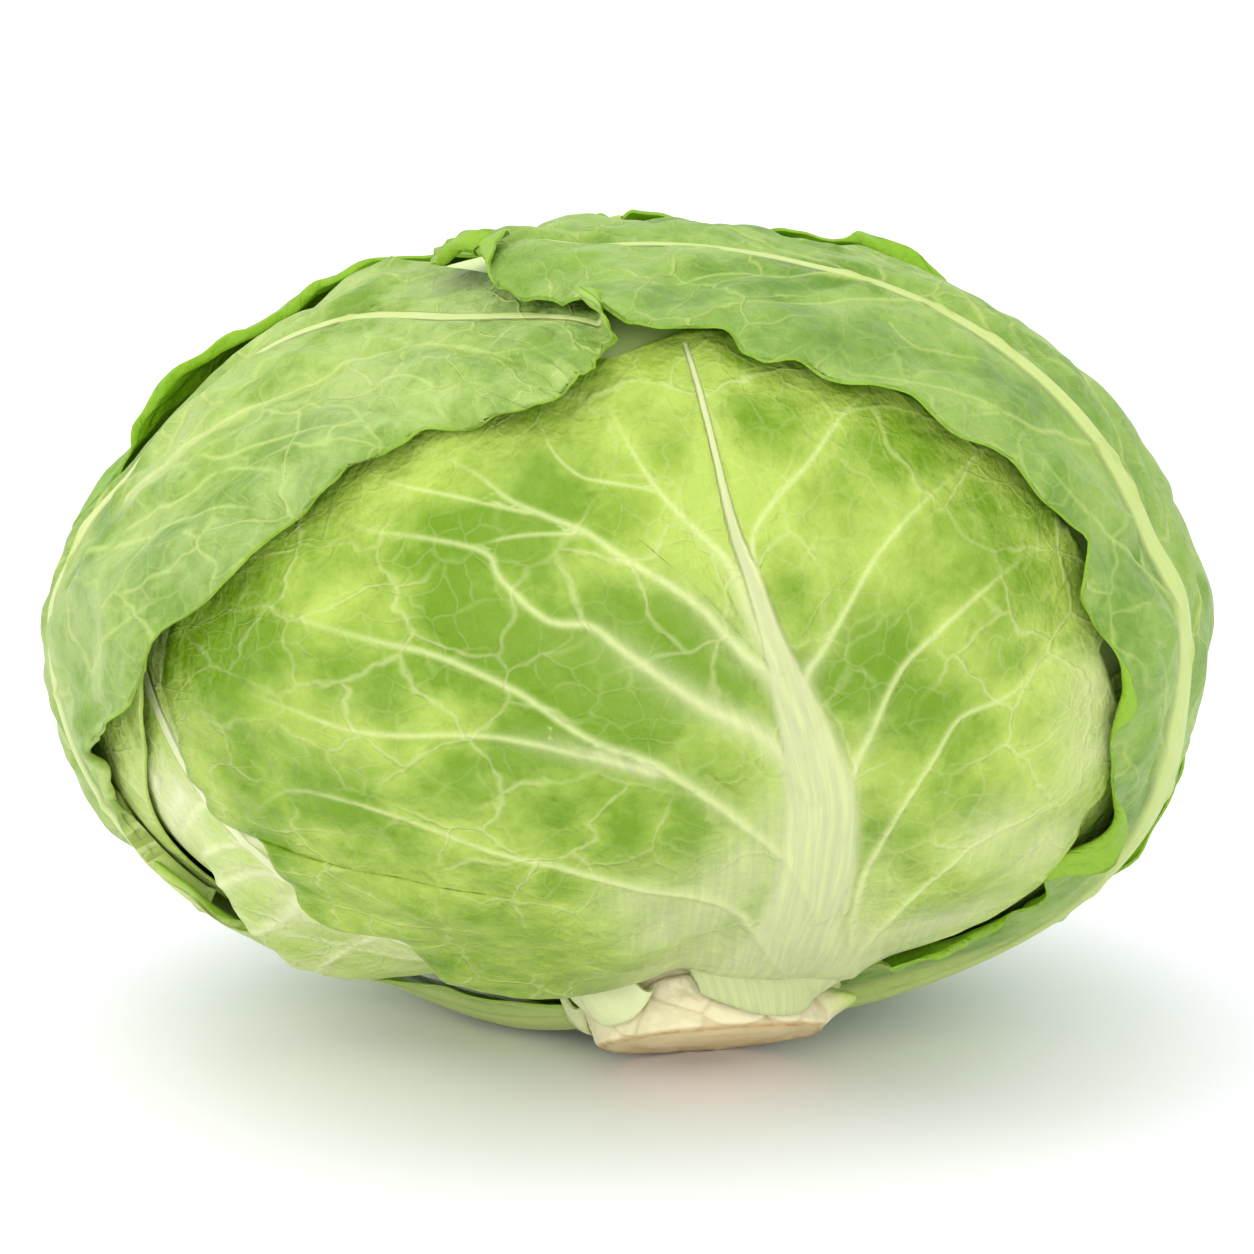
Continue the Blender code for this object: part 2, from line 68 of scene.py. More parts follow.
# Blades: metres, degrees of leaf coordinates, shares of a half leaf
GAP = 0.0006
LAYER = 0.0029
BLADE_AT_BASE = 0.0016
COVER_START = 3.0
COVER_END = 15.0
MM_PER_DEGREE = 1.5
LEAF_COLUMNS_FROM_MIDRIB = (0.0, 0.05, 0.12, 0.21, 0.32, 0.43, 0.54, 0.65, 0.77, 0.89, 1.0)
TURNED_ROWS = 8
MEAN_RUFFLE = 0.45
MARGIN_RADIUS = 0.095

# Leaf bases on the stalk
FOOT_ROWS = 12
FOOT_BEND = 0.0735
FOOT_STANDS_OFF = 0.0012
FOOT_CORNER_RISE = 0.0055
FOOT_END = 0.0007

# Lowest height over the floor of each layer, inner face then outer face
OUTERMOST_FLOOR = (0.0011, 0.0002)
INNER_LEAF_FLOOR = (0.0028, 0.0018)
HEART_FLOOR = 0.0036

# Margins traced in leaf coordinates, from the stem end on
FRONT_LEFT_MARGIN = (
    (-33.7, 11.1), (-37.5, 16), (-39.8, 22.2), (-40.9, 27.6), (-43.7, 27.8), (-47.6, 25.7),
    (-50.5, 25.1), (-53.2, 27.8), (-54.7, 34.6), (-54.8, 39.6), (-56.2, 45.2), (-58.4, 41.9),
    (-60.5, 40.7), (-62, 44), (-63.6, 47.1), (-62.8, 52.6), (-65.1, 54.6), (-64.5, 58.8),
    (-65.8, 61.3), (-65, 66.2), (-65.5, 71), (-65.4, 75.2), (-65.9, 79),
)
FRONT_RIGHT_MARGIN = (
    (28.2, 27.3), (30.6, 28.5), (34.1, 31.5), (37.1, 33.5), (37.8, 39.4), (39.3, 42),
    (38.9, 44.1), (39.2, 46.7), (41.5, 47.4), (42.2, 53.1), (43.5, 55.9), (42.5, 59.1),
    (39.4, 65), (37.6, 70.2),
)
LEFT_LEAF_MARGIN = (
    (-7.3, 74.5), (-6.2, 79.1), (4.3, 81), (13.3, 82.5), (19.8, 82.5),
    (26.4, 82.6), (31.7, 85.4), (34.6, 88.2), (37.1, 89.7), (38.5, 89.5), (42.4, 90.8),
    (45.4, 92.6), (48, 96.3), (48.3, 98.5), (49.7, 99.1), (52.4, 102.1), (54.7, 105.8),
    (55, 110), (57.7, 109.9), (60.3, 112.3), (61.5, 115.6), (62.2, 118.6), (65, 119.9),
    (67.9, 122.4), (69.4, 127.2), (70.5, 127.2), (72.9, 135.4), (73.9, 145.2), (73.5, 156.6),
)
RIGHT_LEAF_MARGIN = (
    (-15.4, 28), (-12.2, 29.7), (-8.1, 32.3), (-5.6, 35.1), (-1.6, 37.1), (-1, 39.3),
    (-2.1, 43.3), (-4.2, 46.1), (-9.2, 48.5), (-11, 51.2), (-9.1, 53.4), (-8.7, 55.9),
    (-9.7, 58), (-13.2, 59.4), (-15.9, 61), (-18.8, 63.8), (-21, 66.6), (-21.3, 68.8),
    (-23.3, 70.9), (-25.5, 73.4), (-27.4, 75.5), (-29.2, 77.2), (-29.6, 80.4), (-28.6, 82.4),
    (-27.4, 83.5), (-31, 85.3), (-34.2, 87.3), (-36.2, 89.9), (-37, 92.6), (-40.2, 93.9),
    (-43.3, 96), (-44.9, 98.8), (-45.3, 102.4), (-47.6, 104.2), (-51, 106.3), (-53.2, 108.7),
    (-54.1, 112.9), (-56.9, 115.3), (-58.1, 120), (-57.5, 124.6), (-58.2, 128.7),
    (-60.3, 130.9), (-62.5, 133.9), (-63.7, 139), (-63.4, 146.1), (-60.9, 152.8), (-61.4, 159.3),
)

# Broad white rib of the front leaf: x, y, half its width in mm
FRONT_RIB = (
    (8, 17, 17.0), (8.1, 25.6, 15.5), (7.5, 31, 13.0), (7, 36, 9.8), (7, 40.8, 8.2),
    (6.8, 48.3, 7.2), (6.5, 53, 6.6), (6, 59, 5.6), (4.6, 65, 4.4), (3.1, 70, 3.2),
    (1.1, 76.6, 1.8), (-0.2, 82.5, 1.2), (-1.4, 88, 0.8), (-1.8, 97, 0.55), (-1.7, 108, 0.35),
)
# Darker, paler and whitish places of the front leaf between its veins
FRONT_DARK = (
    (-22, 79), (-16, 74), (-15, 70), (-6, 74), (-27, 66), (-11, 78), (-27, 89), (-37, 75),
    (-20, 90), (-6, 60), (-28, 80), (12, 69), (16, 52), (-17, 95), (-53, 84), (9, 76), (-45, 61),
    (-16, 75), (-15, 72),
)
FRONT_PALE = (
    (-27, 85), (-32, 72), (-39, 86), (-30, 100), (-13, 92), (-2, 90), (36, 67), (36, 55),
    (25, 52), (-22, 42), (-8, 102),
)
FRONT_WHITE = (
    (-1, 50), (-3, 45), (-5, 39), (-10, 36), (-13, 45), (26, 50), (3, 57), (21, 34), (20, 28), (28, 33),
    (34, 44), (38, 57), (37, 66),
)

# Painted places: paler ones, then darker ones
PAINTED = {
    "front_leaf": (FRONT_PALE, FRONT_DARK),
    "left_leaf": (
        ((20, 125), (40, 132), (56, 142), (30, 118), (8, 88)),
        ((18, 98), (16, 92), (44, 97), (35, 97), (54, 106), (50, 118)),
    ),
    "right_leaf": (
        ((-50, 165), (-46, 150), (-53, 155), (-40, 170), (-10, 80), (-24, 96)),
        ((-42, 110), (-50, 118), (-32, 100), (-36, 130), (-20, 84)),
    ),
}

# Leaves from the inside out. Turn round the stem in degrees, rows and half columns of the
# grid, height of the rib in metres and its width in mm at both ends, ruffle in metres,
# crumple as a share, press in metres, notch in degrees, foot on the stalk as distance and
# reach. Turned rims: from and to station with the width in mm, or narrow and wide tip,
# rolled at a radius by at most an angle. Lifts: x, y, height, spread in degrees.
# Each station: midrib point, left margin, right margin
LEAVES = (
    {
        "name": "low_left_leaf", "turn": -45.0, "grid": (121, 56), "midrib": 0.0022,
        "rib_width": (5.0, 1.0), "ruffle": 0.0014, "notch": 1.0, "foot": (0.0770, 0.0226),
        "lifts": ((-4.0, 24.0, 0.0010, 8.0), (-41.0, 50.0, 0.0060, 13.0),
                  (-37.0, 33.0, 0.0050, 12.0), (-40.0, 65.0, 0.0028, 11.0)),
        "stations": (
            ((0, 19.5), (-8, 19.5), (8, 19.5)), ((-1, 24), (-20, 20), (15, 26)),
            ((-3, 30), (-36, 24), (19, 36)), ((-6, 38), (-48, 34), (20, 48)),
            ((-9, 47), (-54, 48), (20, 60)), ((-11, 57), (-56, 62), (18, 72)),
            ((-12, 67), (-52, 77), (14, 84)), ((-12, 77), (-42, 89), (8, 92)),
            ((-11, 94), (-28, 96), (-2, 95)),
        ),
    },
    {
        "name": "low_right_leaf", "turn": 100.0, "grid": (121, 56), "midrib": 0.0020,
        "rib_width": (4.0, 0.8), "ruffle": 0.0014, "notch": 1.0, "foot": (0.0765, 0.0226), "lifts": (),
        "stations": (
            ((0, 22), (-7, 22), (7, 22)), ((0, 26.5), (-22, 25), (12, 29)), ((-1, 32), (-36, 30), (17, 40)),
            ((-3, 40), (-42, 42), (19, 52)), ((-6, 48), (-43, 54), (18, 63)),
            ((-10, 56), (-40, 64), (12, 72)), ((-16, 65), (-34, 71), (2, 77)),
            ((-20, 78), (-26, 77), (-12, 79)),
        ),
    },
    {
        "name": "front_leaf", "turn": 15.0, "grid": (203, 103), "midrib": 0.0042, "rib_width": (16.0, 0.5),
        "ruffle": 0.0012, "notch": 0.8, "foot": (0.0787, 0.0232),
        "margins": {"left": FRONT_LEFT_MARGIN, "right": FRONT_RIGHT_MARGIN},
        "lifts": ((-16.0, 12.0, 0.0010, 8.0), (-48.0, 26.0, 0.0012, 9.0)),
        "stations": (
            ((8, 18.5), (-4, 19), (19, 20)), ((8.5, 21), (-8, 18.5), (22, 24)),
            ((8.5, 23.5), (-16, 16), (27, 27)), ((8.5, 25.5), (-31, 11), (32, 29)),
            ((8.5, 28), (-46, 26), (37, 35)), ((8, 31), (-57, 40), (40, 44)),
            ((8, 35), (-64, 55), (43, 55)), ((8, 41), (-67, 73), (44, 64)), ((9, 47), (-61, 91), (42, 74)),
            ((6, 58), (-50, 103), (36, 85)), ((4, 68), (-35, 109), (28, 95)),
            ((1, 79), (-20, 110), (17, 102)), ((0, 111), (-9, 108), (6, 109)),
        ),
    },
    {
        "name": "side_leaf", "turn": -110.0, "grid": (121, 56), "midrib": 0.0020, "rib_width": (4.0, 0.8),
        "ruffle": 0.0010, "press": 0.0013, "notch": 0.6, "foot": (0.0760, 0.0226), "lifts": (),
        "stations": (
            ((1, 19.5), (-4, 19.5), (5, 19.5)), ((-3, 28), (-9, 30), (1, 31)),
            ((-9, 39), (-15, 44), (-4, 44)), ((-7, 51), (-18, 60), (1, 58)), ((2, 63), (-12, 76), (20, 69)),
            ((14, 75), (0, 90), (43, 75)), ((24, 87), (16, 101), (54, 79)),
            ((44, 102), (34, 107), (60, 91)),
        ),
    },
    {
        "name": "left_leaf", "turn": -80.0, "grid": (201, 102), "midrib": 0.0026, "rib_width": (7.0, 1.0),
        "ruffle": 0.0022, "crumple": 2.3, "press": 0.0009, "notch": 1.0, "foot": (0.0765, 0.0234),
        "margins": {"right": LEFT_LEAF_MARGIN},
        "turned": {"right": ((4.4, 6.0, 1.8),), "tip": (1.0, 12.0), "radius": 0.0018, "most": 2.8},
        "lifts": ((70.0, 164.0, 0.0045, 9.0), (14.0, 80.0, 0.0025, 9.0)),
        "stations": (
            ((-16, 14.5), (-20, 10), (-12, 17)), ((-22, 22), (-29, 20), (-17, 25)),
            ((-30, 33), (-37, 35), (-25, 37)), ((-31, 44), (-42, 52), (-26, 47)),
            ((-27, 55), (-44, 71), (-22, 57)), ((-15, 65), (-42, 89), (-7, 68)),
            ((-6, 72), (-36, 106), (9, 78)), ((-1, 80), (-27, 121), (24, 84)),
            ((3, 88), (-17, 132), (38, 91)), ((6, 97), (-5, 142), (52, 102)),
            ((9, 107), (9, 150), (60, 113)), ((12, 117), (24, 156), (67, 124)),
            ((17, 128), (40, 162), (73, 138)), ((31, 141), (52, 166), (74, 152)),
            ((52, 150), (57, 169), (73.5, 158)), ((67, 166), (61, 171), (72, 163)),
        ),
    },
    {
        "name": "right_leaf", "turn": 80.0, "grid": (199, 101), "midrib": 0.0034, "rib_width": (8.5, 1.3),
        "ruffle": 0.0020, "crumple": 2.0, "press": 0.0009, "notch": 1.0, "foot": (0.0770, 0.0236),
        "margins": {"left": RIGHT_LEAF_MARGIN},
        "turned": {"left": ((1.9, 3.4, 3.0), (3.9, 5.2, 8.0), (5.5, 6.6, 4.0)), "tip": (1.0, 9.0),
                   "radius": 0.0008, "most": 2.9},
        "lifts": ((-50.0, 181.0, 0.0030, 11.0), (-14.0, 56.0, -0.0030, 11.0), (-3.0, 41.0, -0.0022, 9.0)),
        "stations": (
            ((17.5, 10.5), (9, 14.5), (23, 6)), ((19, 18), (2, 24), (28, 17)),
            ((19, 26), (-2, 33), (33, 32)), ((18, 35), (-1, 42), (38, 49)), ((15, 44), (-4, 51), (42, 67)),
            ((10, 53), (-11, 59), (44, 88)), ((3, 62), (-21, 68), (40, 110)),
            ((-4, 69), (-28, 77), (28, 132)), ((-9, 78), (-35, 89), (15, 147)),
            ((-15, 88), (-45, 101), (2, 158)), ((-20, 99), (-53, 110), (-10, 168)),
            ((-25, 110), (-58, 121), (-20, 177)), ((-30, 122), (-61, 134), (-28, 184)),
            ((-37, 138), (-63, 148), (-34, 189)), ((-46, 181), (-57, 176), (-40, 192)),
        ),
    },
    {
        "name": "back_leaf", "turn": 180.0, "grid": (217, 107), "midrib": 0.0040, "rib_width": (8.0, 1.2),
        "ruffle": 0.0026, "crumple": 1.5, "press": 0.0022, "notch": 1.6, "foot": None,
        "turned": {"left": ((11.3, 12.7, 6.0),), "right": ((9.0, 13.2, 3.0),), "radius": 0.0011, "most": 2.4},
        "lifts": ((46.0, 199.0, 0.0008, 12.0), (-60.0, 30.0, 0.0020, 12.0), (-43.0, 188.0, 0.0036, 6.5)),
        "stations": (
            ((0, 20), (-8, 20), (8, 20)), ((0, 25), (-16, 25), (12, 25)), ((0, 31), (-32, 29), (22, 34)),
            ((0, 38), (-47, 30), (27, 44)), ((0, 46), (-60, 31), (40, 60)), ((1, 55), (-70, 36), (53, 84)),
            ((1, 65), (-77, 56), (64, 113)), ((1, 76), (-80, 92), (70, 144)),
            ((0, 88), (-81, 130), (70, 174)), ((-1, 101), (-79, 162), (66, 194)),
            ((-2, 115), (-72, 182), (57, 199)), ((-4, 131), (-59, 185), (45, 198)),
            ((-5, 149), (-46, 188), (32, 196)), ((-6, 166), (-34, 192), (20, 191)),
            ((-8, 189), (-22, 189), (7, 190)),
        ),
    },
)

# Veins drawn on a leaf: half width in mm at its start and end, then leaf coordinates
FRONT_VEINS = (
    (1.3, 0.4, ((1.5, 74), (-0.6, 78.4), (-2.1, 83.9), (-5.1, 88.1), (-7.8, 92.1), (-9.7, 97),
        (-11.5, 104.3))),
    (0.6, 0.3, ((-8, 92), (-13, 94), (-15, 95), (-17, 98), (-18, 103))),
    (1.5, 0.5, ((4, 68), (1, 73), (-2, 76), (-6, 81), (-12, 86), (-15, 89), (-18, 91), (-22, 94),
        (-25, 98), (-31, 104))),
    (0.7, 0.4, ((-15, 89), (-21, 90), (-25, 90))),
    (0.7, 0.4, ((-20, 92), (-24, 94), (-31, 98), (-35, 101))),
    (1.5, 0.5, ((5, 60), (0, 67), (-6, 71), (-13, 77), (-16, 80), (-20, 81), (-24, 86), (-25, 89),
        (-31, 92), (-37, 95), (-41, 99))),
    (1.7, 0.6, ((9, 41), (4, 51), (2, 53), (-5, 60), (-11, 65), (-17, 68), (-24, 74), (-32, 79),
        (-37, 81), (-44, 85), (-49, 89))),
    (1.1, 0.5, ((-11, 64), (-19, 67), (-27, 69), (-39, 70), (-45, 72), (-52, 76))),
    (1.5, 0.5, ((9, 25), (-1, 42), (-12, 47), (-20, 50), (-24, 52), (-34, 56), (-41, 59), (-50, 60),
        (-56, 53))),
    (1.0, 0.4, ((0.4, 81.5), (0.3, 86.1), (2.8, 89.4), (6.7, 92.6), (12.1, 98), (15.6, 100.5))),
    (1.2, 0.4, ((5, 68), (4, 72), (6, 75), (9, 79), (13, 84), (18, 88), (26, 93))),
    (1.4, 0.5, ((12, 41), (10, 53), (9, 60), (11, 66), (14, 72), (18, 75), (21, 77), (26, 80), (32, 83))),
    (1.4, 0.5, ((17, 21), (15, 32), (13, 44), (14, 51), (16, 57), (19, 63), (21, 66), (26, 67), (31, 70),
        (38, 71))),
    (1.4, 0.5, ((18, 21), (16, 29), (18, 39), (22, 46), (24, 49), (29, 51), (34, 52), (39, 57))),
)

LEFT_VEINS = (
    (1.2, 0.5, ((18, 108), (25, 111), (31, 117), (37, 122), (41, 129), (45, 134), (49, 138), (57, 140),
        (63, 142), (67, 147), (68, 154))),
    (0.7, 0.4, ((57, 141), (63, 142), (69, 144))),
    (1.0, 0.4, ((28, 114), (35, 111), (42, 113), (49, 115), (56, 117))),
    (0.6, 0.4, ((43, 121), (47, 120), (50, 121), (54, 118), (58, 114), (59, 112))),
    (1.0, 0.4, ((23, 103), (28, 105), (32, 105), (36, 109), (41, 109), (46, 108), (49, 107))),
    (1.0, 0.4, ((14, 102), (25, 101), (36, 102), (42, 103), (47, 102))),
    (0.6, 0.4, ((36, 101), (40, 99), (44, 97))),
    (0.8, 0.4, ((52, 127), (55, 129), (59, 129), (62, 128), (64, 131), (68, 133))),
    (0.6, 0.4, ((62, 129), (62, 125), (65, 121))),
    (1.0, 0.4, ((4, 90), (12, 89), (20, 89), (29, 91), (38, 93))),
    (1.0, 0.4, ((-3, 79), (3, 79), (8, 81), (13, 84))),
    (1.0, 0.4, ((18, 112), (18, 122), (15, 134), (12, 146))), (1.0, 0.4, ((28, 122), (29, 134), (27, 148))),
    (1.0, 0.4, ((9, 102), (4, 116), (-2, 130))), (1.0, 0.4, ((-2, 84), (-14, 98), (-28, 114))),
    (1.0, 0.4, ((-14, 66), (-28, 80), (-38, 94))),
)
RIGHT_VEINS = (
    (1.0, 0.4, ((-27, 116), (-34, 119), (-42, 122), (-50, 127), (-56, 131))),
    (1.0, 0.4, ((-34, 124), (-38, 129), (-43, 133), (-49, 140), (-55, 146), (-58, 161))),
    (1.0, 0.4, ((-16, 94), (-20, 95), (-27, 96), (-32, 96), (-38, 100), (-42, 103), (-49, 107),
        (-52, 111))),
    (0.6, 0.4, ((-32, 96), (-36, 98), (-42, 98))),
    (1.0, 0.4, ((-10, 78), (-14, 80), (-19, 82), (-23, 84), (-26, 86), (-32, 90), (-34, 95))),
    (0.7, 0.4, ((-39, 115), (-40, 111), (-36, 108), (-29, 105))),
    (0.8, 0.4, ((2, 64), (-5, 66), (-12, 69), (-20, 74))),
    (0.8, 0.4, ((12, 50), (6, 52), (0, 54), (-5, 56))),
    (1.0, 0.4, ((4, 62), (14, 78), (24, 96), (30, 116))),
    (1.0, 0.4, ((-6, 75), (4, 92), (12, 112), (16, 134))),
    (1.0, 0.4, ((-15, 90), (-8, 108), (-3, 128), (-1, 150))),
    (0.9, 0.4, ((-24, 108), (-20, 124), (-16, 142), (-14, 160))),
    (0.8, 0.4, ((-32, 124), (-30, 142), (-27, 162), (-27, 178))),
    (1.0, 0.4, ((15, 46), (26, 56), (34, 70))),
)
LOW_LEFT_VEINS = (
    (1.6, 1.2, ((-16.8, 74.4), (-25.5, 72.2), (-41, 66), (-40, 56), (-39, 50), (-37.7, 42.5), (-36, 36))),
    (1.4, 1.0, ((-6.5, 72.6), (-12.4, 72.7), (-22.8, 70.8), (-41, 66))),
    (1.3, 1.0, ((-11.2, 60.7), (-18.5, 62.2), (-36.6, 60.2), (-40.6, 58.5), (-39.6, 51.9))),
    (1.3, 1.0, ((-13, 57.3), (-24, 53.7), (-39.7, 50.3), (-38.8, 47.8), (-36.7, 39))),
    (1.2, 0.8, ((-21.6, 77.1), (-28.6, 73.6), (-41, 68.7))),
    (1.2, 0.9, ((-7.7, 66.4), (-14.2, 66.9), (-22.9, 66.5), (-41, 63))),
    (1.4, 1.0, ((-7.8, 46.9), (-16.9, 45.7), (-37.2, 39), (-34.2, 31.2))),
    (1.4, 0.8, ((-2, 24), (-14, 34), (-26, 46), (-33, 60), (-35, 76))),
    (1.3, 0.7, ((-2, 26), (-7, 40), (-12, 54), (-14, 70))),
)
TRACED_VEINS = {
    "front_leaf": FRONT_VEINS, "left_leaf": LEFT_VEINS, "right_leaf": RIGHT_VEINS,
    "low_left_leaf": LOW_LEFT_VEINS,
}

# Stalk and core: distance from the head's centre, radius, in metres
STALK_PROFILE = (
    (0.0320, 0.0058), (0.0400, 0.0088), (0.0520, 0.0118), (0.0620, 0.0150), (0.0665, 0.0190),
    (0.0695, 0.0206), (0.0725, 0.0204), (0.0755, 0.0212), (0.0780, 0.0216), (0.0795, 0.0217),
    (0.0803, 0.0210),
)
STALK_CUT_SHIFT = np.array([0.0035, 0.0, 0.0])
STUB_TURN = 92.0
STUB_SPREAD = 15.0
STUB_LENGTH = 0.0070
POCKET_MOUTH = 17.6
POCKET_AIR = 0.0004
HEART_STEP = 0.0009

# Slot, then dark and light flesh, veins, rib, inner face and wax bloom, then the bloom's
# share, the share of the net of veins and the roughness
LEAF_FINISHES = {
    "low_left_leaf": (
        "pale_leaf", ("#acc858", "#ccda8c", "#e0e6b0", "#d8dea8", "#9cbf3f", "#d2dc98"), (0.3, 0.25, 0.42)),
    "low_right_leaf": (
        "green_leaf", ("#a2c63c", "#c4dc6c", "#cfdf8e", "#cfd892", "#8fb82a", "#b0c878"), (0.15, 0.25, 0.42)),
    "front_leaf": (
        "green_leaf", ("#688f02", "#a9c24e", "#d2dc96", "#bac18e", "#86ae1c", "#bfd07c"), (0.15, 0.32, 0.40)),
    "side_leaf": (
        "pale_leaf", ("#a4c24a", "#c8d87c", "#dbe5a6", "#dadfb0", "#94b838", "#c8d892"), (0.2, 0.25, 0.42)),
    "left_leaf": (
        "waxy_leaf", ("#658c1c", "#90b03c", "#bccf78", "#c2d084", "#86b026", "#b4c880"), (0.6, 0.5, 0.45)),
    "right_leaf": (
        "waxy_leaf", ("#5c861a", "#80a634", "#b2c56c", "#b9ca78", "#86b026", "#a0b868"), (0.55, 0.5, 0.45)),
    "back_leaf": (
        "waxy_leaf", ("#6d9a1c", "#86ae38", "#b0c862", "#bccd78", "#7fae1a", "#8fad5c"), (0.3, 0.3, 0.45)),
}
PLUS, MINUS, TIMES = ({"operation": kind} for kind in ("ADD", "SUBTRACT", "MULTIPLY"))
SMOOTH = {"interpolation_type": "SMOOTHSTEP"}

# Stage: each lamp has its name, place, width and power in watts
FLOOR_REACH = 6.0
LAMPS = (
    ("overhead", (-0.25, 0.0, 1.4), 1.1, 4.0),
    ("left", (-1.0, -0.6, 0.9), 0.7, 2.0),
    ("front", (0.15, -1.7, 0.5), 1.2, 7.0),
)
LAMPS_AIM = (0.0, 0.0, 0.07)
CAMERA_AIM = (-0.0017, -0.0001, 0.0815)
CAMERA_DROP = 0.00133


def linear(code):
    """Linear red, green, blue and one for an sRGB hex code."""
    channels = [int(code[i:i + 2], 16) / 255.0 for i in (1, 3, 5)]
    return tuple(c / 12.92 if c <= 0.04045 else ((c + 0.055) / 1.055) ** 2.4 for c in channels) + (1.0,)


def unit(vectors):
    """Vectors divided by their length."""
    vectors = np.asarray(vectors, dtype=float)
    return vectors / np.maximum(np.linalg.norm(vectors, axis=-1, keepdims=True), 1e-12)


def leaning_axis(tip, lean):
    """Down-pointing axis tipped forward and leant to the right, degrees."""
    forward, side = math.radians(tip), math.radians(lean)
    return unit([
        math.sin(side),
        -math.sin(forward) * math.cos(side),
        -math.cos(forward) * math.cos(side),
    ])


STEM_AXIS = leaning_axis(TIP_FORWARD, STEM_LEAN)
CUT_AXIS = leaning_axis(TIP_FORWARD, CUT_LEAN)
SHORT_AXIS = -leaning_axis(TIP_FORWARD, -FLATNESS_ROLL)
WIDE_AXIS = unit(np.cross([0.0, 1.0, 0.0], SHORT_AXIS))
DEEP_AXIS = np.cross(SHORT_AXIS, WIDE_AXIS)
FRONT_AXIS = unit(np.array([0.0, -1.0, 0.0]) + STEM_AXIS[1] * STEM_AXIS)
RIGHT_AXIS = np.cross(FRONT_AXIS, STEM_AXIS)


def smooth_step(start, end, value):
    """Zero before start, one after end and a cubic between."""
    part = np.clip((value - start) / (end - start), 0.0, 1.0)
    return part * part * (3.0 - 2.0 * part)


def turned_axes(turn):
    """Outward and sideways axes of a leaf that leaves the stem at this turn."""
    angle = math.radians(turn)
    outward = FRONT_AXIS * math.cos(angle) + RIGHT_AXIS * math.sin(angle)
    sideways = RIGHT_AXIS * math.cos(angle) - FRONT_AXIS * math.sin(angle)
    return outward, sideways


def directions(turn, across, along):
    """Directions from the centre: cos x sin y outward, cos x cos y stemward, sin x sideways."""
    outward, sideways = turned_axes(turn)
    a, b = np.radians(across), np.radians(along)
    return (
        (np.cos(a) * np.sin(b))[..., None] * outward
        + (np.cos(a) * np.cos(b))[..., None] * STEM_AXIS
        + np.sin(a)[..., None] * sideways
    )


def leaf_coordinates(turn, points):
    """Leaf coordinates in degrees of directions, y kept between -70 and 290."""
    outward, sideways = turned_axes(turn)
    across = np.degrees(np.arcsin(np.clip(points @ sideways, -1.0, 1.0)))
    along = np.degrees(np.arctan2(points @ outward, points @ STEM_AXIS))
    return across, (along + 70.0) % 360.0 - 70.0


def heart_radius(points):
    """Radius of a squashed ball, fuller on its stem side, plus soft swells and hollows."""
    stem_share = smooth_step(-0.35, 0.35, points @ STEM_AXIS)
    power = CROWN_SIDE_FULLNESS + (STEM_SIDE_FULLNESS - CROWN_SIDE_FULLNESS) * stem_share
    wide = points @ WIDE_AXIS / HEART_HALF_WIDTH
    deep = points @ DEEP_AXIS / HEART_HALF_DEPTH
    tall = np.abs(points @ SHORT_AXIS) / HEART_HALF_HEIGHT
    level = np.sqrt(wide ** 2 + deep ** 2)
    radius = (level ** power + tall ** power) ** (-1.0 / power)
    for turn, across, along, height, spread in HEAD_SWELLS:
        middle = directions(turn, np.array(across), np.array(along))
        apart = np.degrees(np.arccos(np.clip(points @ middle, -1.0, 1.0)))
        radius = radius + height * np.exp(-(apart / spread) ** 2)
    return radius


def above_floor(points, radius, height):
    """Radius cut back so that the surface stays this high over the floor."""
    down = np.maximum(-points[..., 2], 1e-6)
    return np.minimum(radius, (HEAD_CENTRE[2] - height) / down)


def spline(values, places):
    """Smooth curve through values, read at places counted in values (Catmull-Rom)."""
    values = np.asarray(values, dtype=float)
    ends = 2.0 * values[[0, -1]] - values[[1, -2]]
    padded = np.concatenate([ends[:1], values, ends[1:]])
    i = np.minimum(places.astype(int), len(values) - 2)
    t = (places - i).reshape((-1,) + (1,) * (values.ndim - 1))
    a, b, c, d = padded[i], padded[i + 1], padded[i + 2], padded[i + 3]
    return b + 0.5 * t * (c - a + t * (2 * a - 5 * b + 4 * c - d + t * (3 * (b - c) + d - a)))


def soft_noise(across, along, cell, seed):
    """Smooth random field from -1 to 1: random values on a square lattice, eased between."""
    table = np.random.default_rng(seed).uniform(-1.0, 1.0, (128, 128))
    x, y = across / cell + 64.0, along / cell + 64.0
    i, j = np.floor(x).astype(int), np.floor(y).astype(int)
    tx, ty = x - i, y - j
    tx, ty = tx * tx * (3 - 2 * tx), ty * ty * (3 - 2 * ty)
    i, j, k, m = i % 128, j % 128, (i + 1) % 128, (j + 1) % 128
    low = table[i, j] * (1 - tx) + table[k, j] * tx
    high = table[i, m] * (1 - tx) + table[k, m] * tx
    return low * (1 - ty) + high * ty


def half_rows(midrib, margin, share, steps):
    """Curves from midrib to margin that start along the midrib (quadratic curves)."""
    forward = unit(np.gradient(midrib, axis=0))
    bend = 0.22 * np.minimum(1.0, 6.0 * np.minimum(share, 1.0 - share))
    reach = margin - midrib
    length = np.linalg.norm(reach, axis=1, keepdims=True)
    pull = midrib + forward * length * bend[:, None] + 0.2 * reach
    s = steps[None, :, None]
    return (1 - s) ** 2 * midrib[:, None] + 2 * s * (1 - s) * pull[:, None] + s * s * margin[:, None]


def soften(values, times):
    """Values averaged with their neighbours along the first axis, ends kept."""
    values = np.array(values, dtype=float)
    for _ in range(times):
        values[1:-1] = 0.25 * values[:-2] + 0.5 * values[1:-1] + 0.25 * values[2:]
    return values


